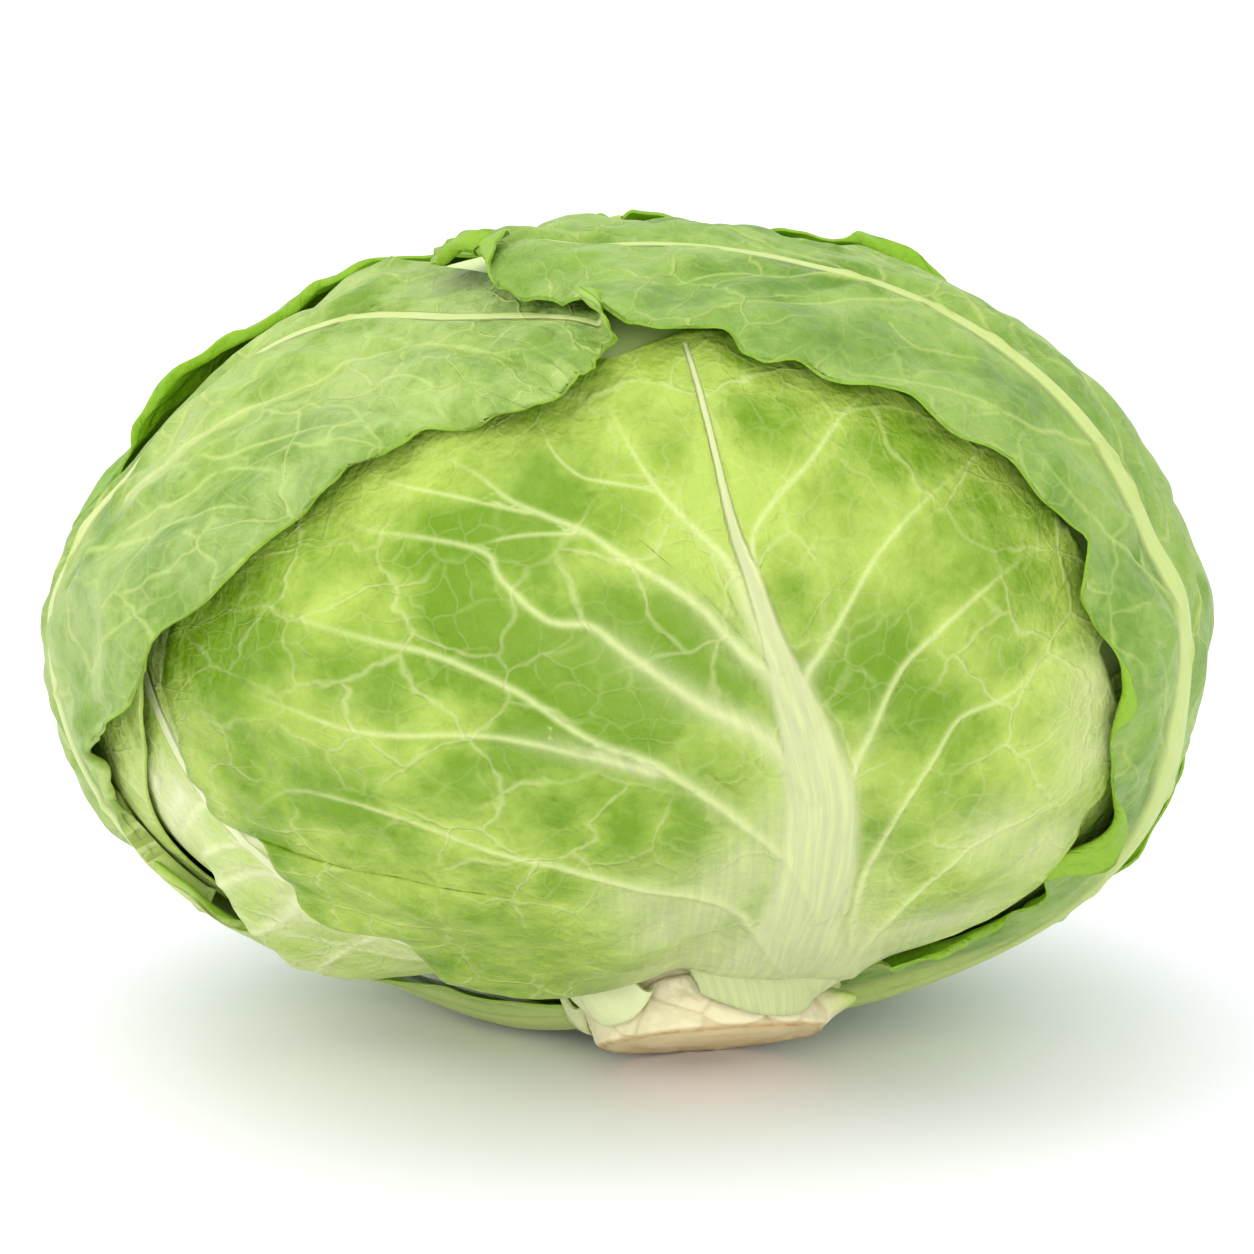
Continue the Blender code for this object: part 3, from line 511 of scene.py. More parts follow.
def follow(margin, places, line):
    """Margin that runs through traced points and keeps its own course beyond them.

    Each point takes the place of the nearest row, in rising order; rows between two
    points lie on the straight line between them, softened a little.
    """
    line = np.asarray(line, dtype=float)
    nearest = np.linalg.norm(margin[:, None] - line[None], axis=2).argmin(axis=0)
    rows = np.maximum.accumulate(places[nearest] + 1e-4 * np.arange(len(line)))
    traced = np.stack([np.interp(places, rows, line[:, i]) for i in range(2)], axis=1)
    share = smooth_step(rows[0] - 0.4, rows[0] + 0.1, places)
    share *= 1.0 - smooth_step(rows[-1] - 0.1, rows[-1] + 0.4, places)
    return margin + (soften(traced, 2) - margin) * share[:, None]


def leaf_outline(leaf, places, steps, fine=False):
    """Leaf coordinates of a grid of rows from the left margin over the midrib to the right.

    A fine outline has soft uneven notches and follows the traced margins.
    """
    stations = np.asarray(leaf["stations"], dtype=float)
    midrib, left, right = (spline(stations[:, i], places) for i in range(3))
    share = places / (len(stations) - 1)
    margins = []
    for side, margin in (("left", left), ("right", right)):
        if fine:
            run = np.concatenate([[0.0], np.cumsum(np.linalg.norm(np.diff(margin, axis=0), axis=1))])
            seed = len(leaf["name"]) + 3 * (side == "left")
            notch = soft_noise(run, 0.0 * run, 10.0, seed) + 0.5 * soft_noise(run, 0.0 * run, 3.6, seed + 1)
            notch *= leaf["notch"] * smooth_step(0.06, 0.2, share)
            margin = margin + unit(margin - midrib) * notch[:, None]
            if side in leaf.get("margins", {}):
                margin = follow(margin, places, leaf["margins"][side])
        margins.append(half_rows(midrib, margin, share, steps))
    return np.concatenate([margins[0][:, :0:-1], margins[1]], axis=1)


def coarse_outline(leaf):
    """Outline grid at the stations and half way between them."""
    places = np.arange(0.0, len(leaf["stations"]) - 0.75, 0.5)
    return leaf_outline(leaf, places, np.array(LEAF_COLUMNS_FROM_MIDRIB))


def distance_to_line(across, along, line):
    """Distance in degrees to a broken line, where along it that is and on which side."""
    nearest = np.full(across.shape, 1e9)
    place = np.zeros(across.shape)
    side = np.ones(across.shape)
    narrowing = np.cos(np.radians(across))
    for i in range(len(line) - 1):
        start, step = line[i], line[i + 1] - line[i]
        dx, dy = across - start[0], along - start[1]
        t = np.clip((dx * step[0] + dy * step[1]) / max(step @ step, 1e-9), 0.0, 1.0)
        gap = np.hypot(dx - t * step[0], (dy - t * step[1]) * narrowing)
        closer = gap < nearest
        nearest = np.where(closer, gap, nearest)
        place = np.where(closer, (i + t) / (len(line) - 1), place)
        side = np.where(closer, np.where(step[0] * dy < step[1] * dx, -1.0, 1.0), side)
    return nearest, place, side


def inside_outline(across, along, outline):
    """True where a point lies inside a closed broken line (crossings counted)."""
    inside = np.zeros(across.shape, dtype=bool)
    for start, end in zip(outline, np.roll(outline, -1, axis=0)):
        spans = (start[1] > along) != (end[1] > along)
        rise = np.where(end[1] == start[1], 1e-9, end[1] - start[1])
        crossing = start[0] + (along - start[1]) / rise * (end[0] - start[0])
        inside ^= spans & (across < crossing)
    return inside


def cover(leaf, points):
    """One where the leaf lies over the head, easing to zero outside its margin."""
    across, along = leaf_coordinates(leaf["turn"], points)
    grid = coarse_outline(leaf)
    edge = np.concatenate([grid[0], grid[1:, -1], grid[-1, -2::-1], grid[-2:0:-1, 0]])
    apart, _, _ = distance_to_line(across, along, np.concatenate([edge, edge[:1]]))
    outside = np.where(inside_outline(across, along, edge), 0.0, apart * MM_PER_DEGREE)
    return 1.0 - smooth_step(COVER_START, COVER_END, outside)


def midrib_ridge(leaf, across, along, widening):
    """Raised midrib: a bell across it, highest and widest at the stem, low at the tip."""
    grid = coarse_outline(leaf)
    apart, place, _ = distance_to_line(across, along, grid[:, grid.shape[1] // 2])
    width = 9.5 * widening * (1.0 - 0.75 * smooth_step(0.0, 0.8, place))
    fade = 1.0 - smooth_step(0.0, 0.95, place)
    return leaf["midrib"] * fade * np.exp(-(apart * MM_PER_DEGREE / width) ** 2)


def leaf_veins(leaf):
    """Vein lines of a leaf: its own traced ones, or the side veins at its stations."""
    if leaf["name"] in TRACED_VEINS:
        return TRACED_VEINS[leaf["name"]]
    grid = coarse_outline(leaf)
    middle = grid.shape[1] // 2
    veins = []
    for row in range(4, len(grid) - 3, 2):
        size = 1.1 - 0.4 * row / len(grid)
        veins.append((size, 0.3, grid[row, :middle + 1][::-1]))
        veins.append((size, 0.3, grid[row, middle:]))
    return veins


def vein_marks(leaf, across, along):
    """Measures of the nearest vein and of the ridges that the veins form.

    Each vein gives its signed distance in mm, half its width, how strongly it shows, a
    paler band around it and, near its start, whitish flesh. Widths and strengths fall
    off towards its end. Nearest means the least distance counted in half widths.
    """
    offset, wide, seen, pale, white, ridge = np.zeros((6,) + across.shape)
    least = np.full(across.shape, 1e9)
    for start, end, points in leaf_veins(leaf):
        points = np.asarray(points, dtype=float)
        line = spline(points, np.linspace(0.0, len(points) - 1.0, 3 * len(points)))
        apart, place, side = distance_to_line(across, along, line)
        apart = apart * MM_PER_DEGREE
        width = 0.62 * start + (0.7 * end - 0.62 * start) * place
        fade = (0.4 + 0.6 * np.minimum(1.0, width / 0.8)) * (1.0 - 0.8 * smooth_step(0.7, 1.0, place))
        nearer = apart / width < least
        least = np.where(nearer, apart / width, least)
        offset = np.where(nearer, np.minimum(apart, 3.0) * side, offset)
        wide = np.where(nearer, width, wide)
        seen = np.where(nearer, fade * (1.0 - smooth_step(2.2, 3.0, apart)), seen)
        pale = np.maximum(pale, fade * np.exp(-(apart / (3.5 * width + 1.0)) ** 2))
        if start >= 1.1:
            young = 1.0 - smooth_step(0.05, 0.5, place)
            white = np.maximum(white, young * np.exp(-(apart / (1.7 * start)) ** 2))
        ridge = np.maximum(ridge, width * fade * np.exp(-(apart / np.maximum(1.3 * width, 0.8)) ** 2))
    for axis in (0, 1):
        values = offset.swapaxes(0, axis)
        change = (np.abs(np.diff(values, axis=0)) > 1.3) & (values[1:] * values[:-1] < 0.0)
        shown = seen.swapaxes(0, axis)
        shown[1:][change] = 0.0
        shown[:-1][change] = 0.0
    return {"vein_offset": offset, "vein_width": wide, "vein_seen": seen}, pale, white, ridge


def rib_measures(leaf, across, along):
    """Distance from the rib's middle in half widths, place along it and mm across it."""
    if leaf["name"] == "front_leaf":
        rib = np.array(FRONT_RIB, dtype=float)
    else:
        middle = np.array(leaf["stations"], dtype=float)[:, 0]
        share = np.linspace(0.0, 1.0, len(middle))[:, None]
        start, end = leaf["rib_width"]
        rib = np.concatenate([middle, start + (end - start) * share ** 0.6], axis=1)
    rib = spline(rib, np.linspace(0.0, len(rib) - 1.0, 3 * len(rib)))
    apart, place, _ = distance_to_line(across, along, rib[:, :2])
    width = np.interp(place, np.linspace(0.0, 1.0, len(rib)), rib[:, 2])
    centre = np.interp(along, np.maximum.accumulate(rib[:, 1]), rib[:, 0])
    return apart * MM_PER_DEGREE / width, place, (across - centre) * MM_PER_DEGREE


def rib_height(leaf, sides, place):
    """Height of the rib: flat topped with rounded flanks, falling off towards the tip."""
    fade = (1.0 - smooth_step(0.0, 0.95, place)) * 0.85 + 0.1
    return 0.85 * leaf["midrib"] * fade * np.exp(-(0.95 * sides) ** 4)


def spots(across, along, places, spread):
    """Sum of soft round spots at these leaf coordinates."""
    total = np.zeros(across.shape)
    for x, y in places:
        total += np.exp(-((across - x) ** 2 + (along - y) ** 2) / spread ** 2)
    return total


def surface_normals(grid):
    """Unit normals of a grid of points: the cross product of its row and column steps."""
    return unit(np.cross(np.gradient(grid, axis=1), np.gradient(grid, axis=0)))


def ring(middle, front, right, turns, reach):
    """Points round a middle: reach times cosine of the turn to the front, sine to the right."""
    return middle + np.cos(turns)[:, None] * reach * front + np.sin(turns)[:, None] * reach * right


def stalk_frame(distance):
    """Middle of the stalk and its front and right directions at this distance."""
    ease = float(smooth_step(0.066, 0.0795, np.array(distance)))
    axis = unit(STEM_AXIS * (1.0 - ease) + CUT_AXIS * ease)
    front = unit(FRONT_AXIS - axis * (FRONT_AXIS @ axis))
    middle = HEAD_CENTRE + STEM_AXIS * distance + STALK_CUT_SHIFT * ease
    return middle, front, np.cross(front, axis)


def foot_rows(base, foot):
    """Rows that carry the leaf base down the stalk: quadratic curves from the base row."""
    from_centre = base - HEAD_CENTRE
    turns = np.arctan2(from_centre @ RIGHT_AXIS, from_centre @ FRONT_AXIS)
    pull = ring(*stalk_frame(FOOT_BEND), turns, foot[1] + FOOT_STANDS_OFF)
    end = ring(*stalk_frame(foot[0]), turns, foot[1])
    edge = np.abs(np.linspace(-1.0, 1.0, len(base)))[:, None]
    end = end - STEM_AXIS * FOOT_CORNER_RISE * edge ** 4
    t = np.linspace(1.0, 0.0, FOOT_ROWS + 1)[:-1, None, None]
    return (1 - t) ** 2 * base + 2 * t * (1 - t) * pull + t * t * end


def turned_rim(inner, outer, widths, radius, most):
    """Extra rows beyond the last one that roll outwards and then run straight.

    After a run a the turn is a / radius, at most the widest. The row stands radius times
    sin(turn) ahead of the crease and radius times (1 - cos(turn)) above it.
    """
    edge = inner[-1]
    ahead = unit(soften(edge - inner[-4], 6))
    thick = np.linalg.norm(outer[-1] - edge, axis=-1, keepdims=True)
    out = soften(outer[-1] - edge, 6)
    out = unit(out - ahead * np.sum(out * ahead, axis=-1, keepdims=True))
    run = np.linspace(0.0, 1.0, TURNED_ROWS + 1)[1:, None] * widths
    turn = np.minimum(run / radius, most)
    rest = run - turn * radius
    forward = radius * np.sin(turn) + rest * np.cos(turn)
    rise = radius * (1.0 - np.cos(turn)) + rest * np.sin(turn)
    rolled = edge + forward[..., None] * ahead + rise[..., None] * out
    face = np.cos(turn)[..., None] * out - np.sin(turn)[..., None] * ahead
    return np.concatenate([inner, rolled]), np.concatenate([outer, rolled + face * thick]), run


def turned_widths(windows, places, seed):
    """Width of the turned rim at each row in metres: a sum of soft windows, ragged."""
    width = np.full(places.shape, 0.25)
    for start, end, widest in windows:
        ease = 0.35 * (end - start)
        window = smooth_step(start, start + ease, places) * (1.0 - smooth_step(end - ease, end, places))
        ragged = 1.0 + 0.45 * soft_noise(places * 20.0, places * 0.0, 5.0, seed)
        width = np.maximum(width, widest * window * ragged)
    return width / 1000.0


def stretched(measures, rows, columns):
    """Measures carried on past the grid: their outermost values repeated."""
    return {key: np.pad(value, (rows, columns), mode="edge") for key, value in measures.items()}


def measured_along(points):
    """Length in mm from the first row of points to each row, down every column."""
    lengths = np.linalg.norm(np.diff(points, axis=0), axis=-1) * 1000.0
    return np.concatenate([np.zeros((1,) + lengths.shape[1:]), np.cumsum(lengths, axis=0)])


def resting_radius(order, points):
    """Radius that a leaf rests on, the heart and the leaves beneath, and where none lies over it."""
    radius = heart_radius(points) + GAP
    for lower in LEAVES[:order]:
        x, y = leaf_coordinates(lower["turn"], points)
        radius += cover(lower, points) * (LAYER + midrib_ridge(lower, x, y, 1.5))
    free = np.ones(radius.shape)
    for upper in LEAVES[order + 1:]:
        free *= 1.0 - cover(upper, points)
    return radius, free


def margin_waves(order, points, columns):
    """Waves of 11 and 5 mm counted along the true length of each margin: soft noise."""
    rims = measured_along(points[:, [0, -1]]) * MARGIN_RADIUS
    rim = np.where(columns < 0.0, rims[:, :1], rims[:, 1:])
    side = np.sign(columns) * 40.0 + 0.0 * rim
    return soft_noise(rim, side, 11.0, order + 51) + 0.3 * soft_noise(rim, side, 5.0, order + 71)


def painted(leaf, across, along, measures, halo, young, sides, rib_place):
    """Adds how white each place is and how pale or dark: rib, young veins and painted spots."""
    white = 1.0 - smooth_step(0.75, 1.35, sides)
    around = 0.8 * (1.0 - smooth_step(1.0, 3.0, sides)) * (1.0 - smooth_step(0.12, 0.5, rib_place))
    white = np.maximum(white, np.maximum(around, 0.75 * young))
    tone = 0.35 * halo
    if leaf["name"] in PAINTED:
        pale, dark = PAINTED[leaf["name"]]
        tone += 0.5 * spots(across, along, pale, 6.0) - 0.7 * spots(across, along, dark, 5.5)
    if leaf["name"] == "front_leaf":
        white = np.maximum(white, np.minimum(0.75, 0.6 * spots(across, along, FRONT_WHITE, 5.0)))
    measures.update({"white": white, "tone": tone})


def leaf_shape(order, sizes):
    """Inner and outer face of a leaf as grids of points, its flat map and its measures.

    Radius = heart + the leaves beneath + ruffles + pleats and blisters. The outer face is
    the inner one moved along its normal by the blade, the rib and the veins.
    """
    leaf = LEAVES[order]
    rows, half = leaf["grid"]
    stations = np.asarray(leaf["stations"], dtype=float)
    steps = np.linalg.norm(np.diff(stations, axis=0), axis=2).mean(axis=1)
    travelled = np.concatenate([[0.0], np.cumsum(steps)])
    places = np.interp(np.linspace(0.0, travelled[-1], rows), travelled, np.arange(len(stations)))
    grid = leaf_outline(leaf, places, np.linspace(0.0, 1.0, half), True)
    across, along = grid[..., 0], grid[..., 1]
    mm_x, mm_y = across * MM_PER_DEGREE, along * MM_PER_DEGREE
    points = directions(leaf["turn"], across, along)
    inner, free = resting_radius(order, points)
    share = (places / (len(stations) - 1))[:, None]
    columns = np.concatenate([-np.linspace(1.0, 0.0, half)[:-1], np.linspace(0.0, 1.0, half)])[None, :]
    edge = np.abs(columns)
    ruffle = MEAN_RUFFLE + margin_waves(order, points, columns)
    inner += sizes.ruffle * leaf["ruffle"] * ruffle * edge ** 5 * free * smooth_step(0.05, 0.2, share)
    inner -= leaf.get("press", 0.0) * smooth_step(0.6, 1.0, edge) * smooth_step(0.1, 0.3, share)
    for x, y, height, spread in leaf["lifts"]:
        apart = np.hypot(across - x, (along - y) * np.cos(np.radians(x)))
        inner += height * np.exp(-(apart / spread) ** 2) * free
    measures, halo, young, veins = vein_marks(leaf, across, along)
    sides, rib_place, measures["rib_side"] = rib_measures(leaf, across, along)
    painted(leaf, across, along, measures, halo, young, sides, rib_place)
    blister = soft_noise(mm_x, mm_y, 10.0, order + 11) + 0.4 * soft_noise(mm_x, mm_y, 4.0, order + 31)
    run = np.interp(places, np.arange(len(stations)), travelled)[:, None] * MM_PER_DEGREE
    pleat = soft_noise(run + 0.0 * edge, 18.0 * columns + 0.0 * run, 5.0, order + 91)
    calm = smooth_step(0.9, 3.0, sides) * smooth_step(0.08, 0.25, share)
    relief = 0.5 + 0.5 * blister + 0.3 * pleat - 0.5 * halo
    inner += sizes.blister * leaf.get("crumple", 1.0) * relief * calm * free
    floors = OUTERMOST_FLOOR if order == len(LEAVES) - 1 else INNER_LEAF_FLOOR
    inner = HEAD_CENTRE + points * above_floor(points, inner, floors[0])[..., None]
    base = 1.0 - smooth_step(0.0, 0.3, share)
    thickness = sizes.blade + (BLADE_AT_BASE - sizes.blade) * base * (1.0 - edge)
    thickness = thickness + rib_height(leaf, sides, rib_place) + sizes.vein * veins * free
    flat = np.stack([mm_x, mm_y], axis=-1)
    if leaf["foot"]:
        inner = np.concatenate([foot_rows(inner[0], leaf["foot"]), inner])
        down = np.linspace(-FOOT_ROWS, -1.0, FOOT_ROWS)[:, None, None] * np.array([0.0, 0.9])
        flat = np.concatenate([flat[:1] + down, flat])
        measures = stretched(measures, (FOOT_ROWS, 0), (0, 0))
        measures["white"][:FOOT_ROWS] = 1.0
        thickness = np.pad(thickness, ((FOOT_ROWS, 0), (0, 0)), mode="edge")
        taper = np.sin(0.5 * math.pi * np.linspace(0.0, 1.0, FOOT_ROWS))[:, None]
        thickness[:FOOT_ROWS] = FOOT_END + (thickness[:FOOT_ROWS] - FOOT_END) * taper
        places = np.pad(places, (FOOT_ROWS, 0), mode="edge")
    normals = surface_normals(inner)
    if np.sum(normals * (inner - HEAD_CENTRE)) < 0.0:
        normals = -normals
    outer = inner + normals * thickness[..., None]
    turned = leaf.get("turned", {})
    if "tip" in turned:
        narrow, wide = turned["tip"]
        widths = narrow + (wide - narrow) * np.sin(math.pi * np.linspace(0.0, 1.0, inner.shape[1]))
        radius = turned["radius"] * 1.6
        inner, outer, added = turned_rim(inner, outer, widths / 1000.0, radius, turned["most"])
        flat = np.concatenate([flat, flat[-1:] + added[..., None] * np.array([0.0, 1000.0])])
        measures = stretched(measures, (0, TURNED_ROWS), (0, 0))
        places = np.pad(places, (0, TURNED_ROWS), mode="edge")
    for side, sign in (("left", -1.0), ("right", 1.0)):
        if side not in turned:
            continue
        widths = turned_widths(turned[side], places, order + 5)
        flip = slice(None, None, int(sign))
        faces = [face[:, flip].swapaxes(0, 1) for face in (inner, outer)]
        faces = turned_rim(*faces, widths, turned["radius"], turned["most"])
        inner, outer = [face.swapaxes(0, 1)[:, flip] for face in faces[:2]]
        added = faces[2].T[..., None] * np.array([sign * 1000.0, 0.0])
        flat = flat[:, flip]
        flat = np.concatenate([flat, flat[:, -1:] + added], axis=1)[:, flip]
        measures = stretched(measures, (0, 0), (0, TURNED_ROWS) if sign > 0 else (TURNED_ROWS, 0))
    inner[..., 2] = np.maximum(inner[..., 2], floors[0])
    outer[..., 2] = np.maximum(outer[..., 2], floors[1])
    from_left = measured_along(inner.swapaxes(0, 1)).T
    from_base = measured_along(inner)
    margin = np.minimum(from_left, from_left[:, -1:] - from_left)
    measures["margin"] = np.minimum(margin, from_base[-1:] - from_base)
    return inner, outer, flat / 100.0, measures


def write_measures(mesh, measures):
    """Stores one number a vertex under each measure's name."""
    for key, values in measures.items():
        mesh.attributes.new(key, "FLOAT", "POINT").data.foreach_set("value", values)
    mesh.validate()
    return mesh


def blade_mesh(name, inner, outer, flat, measures):
    """Closed blade of quads: two grids and a rim, with its leaf map and its measures."""
    rows, columns = inner.shape[:2]
    count = rows * columns
    vertices = np.concatenate([inner.reshape(-1, 3), outer.reshape(-1, 3)])
    index = np.arange(count).reshape(rows, columns)
    corners = (index[:-1, :-1], index[:-1, 1:], index[1:, 1:], index[1:, :-1])
    face = np.stack(corners, axis=-1).reshape(-1, 4)
    border = np.concatenate([index[0, :-1], index[:-1, -1], index[-1, :0:-1], index[:0:-1, 0]])
    after = np.roll(border, -1)
    rim = np.stack([border, after, after + count, border + count], axis=-1)
    faces = np.concatenate([face[:, ::-1], face + count, rim])
    mesh = bpy.data.meshes.new(name)
    mesh.vertices.add(len(vertices))
    mesh.vertices.foreach_set("co", vertices.ravel())
    mesh.loops.add(faces.size)
    mesh.loops.foreach_set("vertex_index", faces.ravel())
    mesh.polygons.add(len(faces))
    mesh.polygons.foreach_set("loop_start", np.arange(0, faces.size, 4))
    mesh.polygons.foreach_set("use_smooth", np.arange(len(faces)) < len(faces) - len(rim))
    mesh.update(calc_edges=True)
    places = np.concatenate([flat.reshape(-1, 2)] * 2)
    layer = mesh.uv_layers.new(name="leaf_map")
    layer.uv.foreach_set("vector", places[faces.ravel()].ravel())
    values = {key: np.tile(value.ravel(), 2) for key, value in measures.items()}
    values["inner_face"] = np.repeat([1.0, 0.0], count)
    return write_measures(mesh, values)


def ring_mesh(name, rings, first, last, measures):
    """Closed skin of rings of points with a single point at each end."""
    count, sides = rings.shape[:2]
    vertices = np.concatenate([rings.reshape(-1, 3), [first, last]])
    index = np.arange(count * sides).reshape(count, sides)
    after = np.roll(index, -1, axis=1)
    quads = np.stack([index[:-1], index[1:], after[1:], after[:-1]], axis=-1).reshape(-1, 4)
    start, end = count * sides, count * sides + 1
    faces = quads.tolist()
    faces += [(start, s, (s + 1) % sides) for s in range(sides)]
    faces += [(end, index[-1, (s + 1) % sides], index[-1, s]) for s in range(sides)]
    mesh = bpy.data.meshes.new(name)
    mesh.from_pydata(vertices.tolist(), [], faces)
    mesh.polygons.foreach_set("use_smooth", [True] * len(mesh.polygons))
    mesh.update()
    values = {key: np.concatenate([value.ravel(), value[0, :1], value[-1, :1]])
              for key, value in measures.items()}
    return write_measures(mesh, values)


def put(tree, kind, inputs=(), out=0, **settings):
    """Adds a node with its settings, fills its sockets in order or by key, gives an output."""
    node = tree.nodes.new("ShaderNode" + kind)
    for key, value in settings.items():
        setattr(node, key, value)
    for key, value in inputs.items() if isinstance(inputs, dict) else enumerate(inputs):
        if isinstance(value, bpy.types.NodeSocket):
            tree.links.new(value, node.inputs[key])
        else:
            node.inputs[key].default_value = value
    return node.outputs[out] if node.outputs else None


def new_material(name):
    """Empty node material, and the function that adds a node to it."""
    material = bpy.data.materials.new(name)
    material.use_nodes = True
    material.node_tree.nodes.clear()
    return material, partial(put, material.node_tree)


def surfaced(material, add, **sockets):
    """Material with a principled shader whose sockets, named with low dashes, are filled."""
    shader = add("BsdfPrincipled", {key.replace("_", " "): value for key, value in sockets.items()})
    add("OutputMaterial", (shader,))
    return material


def coated(add, colour, coats):
    """Colour with coats laid over it one by one, each by its share."""
    for share, coat in coats:
        colour = add("Mix", {0: share, 6: colour, 7: coat}, 2, data_type="RGBA")
    return colour


def leaf_finish(name, dark, light, vein, rib, inside, bloom, bloom_share, net_share, roughness):
    """Fresh cabbage leaf: a thin waxy skin over green flesh, paler veins standing out.

    The eye sees soft green patches between the veins, a net of fine veins, a whitish rib
    and, on outer leaves, a grey bloom of wax that dulls the gloss.
    """
    material, add = new_material(name)
    mm = add("Mapping", {"Vector": add("UVMap", uv_map="leaf_map"), "Scale": (100.0, 100.0, 1.0)})
    body = add("Mapping", {"Vector": add("TexCoord", out="Object"), "Scale": (1000.0, 1000.0, 1000.0)})
    white, vein_offset, vein_width, vein_seen, rib_side, painted_tone, margin, inner_face = (
        add("Attribute", out="Fac", attribute_name=key) for key in (
            "white", "vein_offset", "vein_width", "vein_seen", "rib_side", "tone", "margin", "inner_face"))
    # Leaf map in mm pushed about by up to 4 mm, so that no vein cell has straight sides
    push = add("TexNoise", {"Vector": mm, "Scale": 0.10, "Detail": 2.0}, "Color")
    push = add("VectorMath", (push, (0.5, 0.5, 0.5)), **MINUS)
    push = add("VectorMath", {0: push, "Scale": 9.0}, operation="SCALE")
    bent = add("VectorMath", (mm, push), **PLUS)
    # Vein cells of 13 mm and 5 mm, each shown in some places and lost in others
    lines = []
    for size, line, place in ((13.0, 0.06, 0.031), (5.0, 0.09, 0.05)):
        cell = add("TexVoronoi", {"Vector": bent, "Scale": 1.0 / size}, "Distance",
                   voronoi_dimensions="2D", feature="DISTANCE_TO_EDGE")
        shown = add("TexNoise", {"Vector": mm, "Scale": place, "Detail": 2.0}, "Fac")
        shown = add("MapRange", (shown, 0.36, 0.6, 0.0, 1.0), **SMOOTH)
        lines.append(add("Math", (add("MapRange", (cell, 0.0, line, 1.0, 0.0), **SMOOTH), shown), **TIMES))
        if size > 10.0:
            middle = add("MapRange", (cell, 0.02, 0.4, 0.0, 1.0), **SMOOTH)
            middle = add("Math", (middle, shown), **TIMES)
    net = add("Math", (lines[0], add("Math", (lines[1], 0.4), **TIMES)), **PLUS)
    # Patches of 20 mm, mottling of 3 mm and the painted tone
    patch = add("TexNoise", {"Vector": body, "Scale": 0.05, "Detail": 5.0, "Roughness": 0.6}, "Fac")
    mottle = add("TexNoise", {"Vector": body, "Scale": 0.3, "Detail": 4.0, "Roughness": 0.6}, "Fac")
    uneven = add("Math", (mottle, 0.5), **MINUS)
    tone = add("MapRange", (patch, 0.3, 0.72, 0.15, 0.9), **SMOOTH)
    tone = add("Math", (tone, add("Math", (uneven, 0.5), **TIMES)), **PLUS)
    tone = add("Math", (tone, add("Math", (middle, 0.35), **TIMES)), **MINUS)
    tone = add("Math", (tone, painted_tone), **PLUS)
    wax = add("Math", (patch, add("Math", (mottle, 0.3), **TIMES)), **PLUS)
    wax = add("Math", (add("MapRange", (wax, 0.45, 0.85, 0.1, 1.0), **SMOOTH), bloom_share), **TIMES)
    # A vein is a bell across its width
    ratio = add("Math", (vein_width, 0.2), operation="MAXIMUM")
    ratio = add("Math", (vein_offset, ratio), operation="DIVIDE")
    bell = add("Math", (add("Math", (ratio, ratio), **TIMES), -1.0), **TIMES)
    bell = add("Math", (2.72, bell), operation="POWER")
    bell = add("Math", (add("Math", (bell, vein_seen), **TIMES), 0.75), **TIMES)
    # Whitish rib with fine streaks 1 mm wide that run along it
    down = add("Math", (add("SeparateXYZ", (mm,), 1), 0.05), **TIMES)
    streak = add("TexNoise", {"Vector": add("CombineXYZ", (rib_side, down)), "Scale": 0.9, "Detail": 3.0,
                              "Roughness": 0.6}, "Fac")
    streak = add("MapRange", (streak, 0.35, 0.7, 0.0, 0.55), **SMOOTH)
    whitish = add("Math", (uneven, add("Math", (white, 0.4), **TIMES)), **TIMES)
    whitish = add("Math", (white, whitish), **PLUS)
    # Margin: a pale line half a millimetre wide
    edge = add("MapRange", (margin, 0.1, 1.0, 0.55, 0.0), **SMOOTH)
    edge = add("Math", (edge, add("Math", (1.0, white), **MINUS)), **TIMES)
    colour = coated(add, dark, (
        (tone, light),
        (wax, bloom),
        (add("Math", (net, net_share), **TIMES), vein),
        (bell, vein),
        (whitish, coated(add, rib, ((streak, vein),))),
        (edge, light),
        (add("Math", (inner_face, 0.85), **TIMES), inside),
    ))
    # Relief: shallow creases of 8 mm, wrinkles of 2 mm and the net of veins
    crease = add("TexNoise", {"Vector": body, "Scale": 0.12, "Detail": 3.0, "Roughness": 0.55}, "Fac")
    wrinkle = add("TexNoise", {"Vector": body, "Scale": 0.5, "Detail": 5.0, "Roughness": 0.6}, "Fac")
    height = add("Math", (add("Math", (net, 0.35), **TIMES), add("Math", (wrinkle, 0.8), **TIMES)), **PLUS)
    height = add("Math", (add("Math", (crease, 3.0), **TIMES), height), **PLUS)
    calm = add("Math", (1.0, add("Math", (white, 0.8), **TIMES)), **MINUS)
    height = add("Math", (height, calm), **TIMES)
    bump = add("Bump", {"Height": height, "Distance": 0.0010, "Strength": 0.85})
    return surfaced(material, add, Base_Color=colour, Normal=bump, Roughness=roughness, IOR=1.45,
                    Specular_IOR_Level=0.28, Subsurface_Weight=0.12,
                    Subsurface_Radius=(1.0, 1.0, 0.35), Subsurface_Scale=0.003)


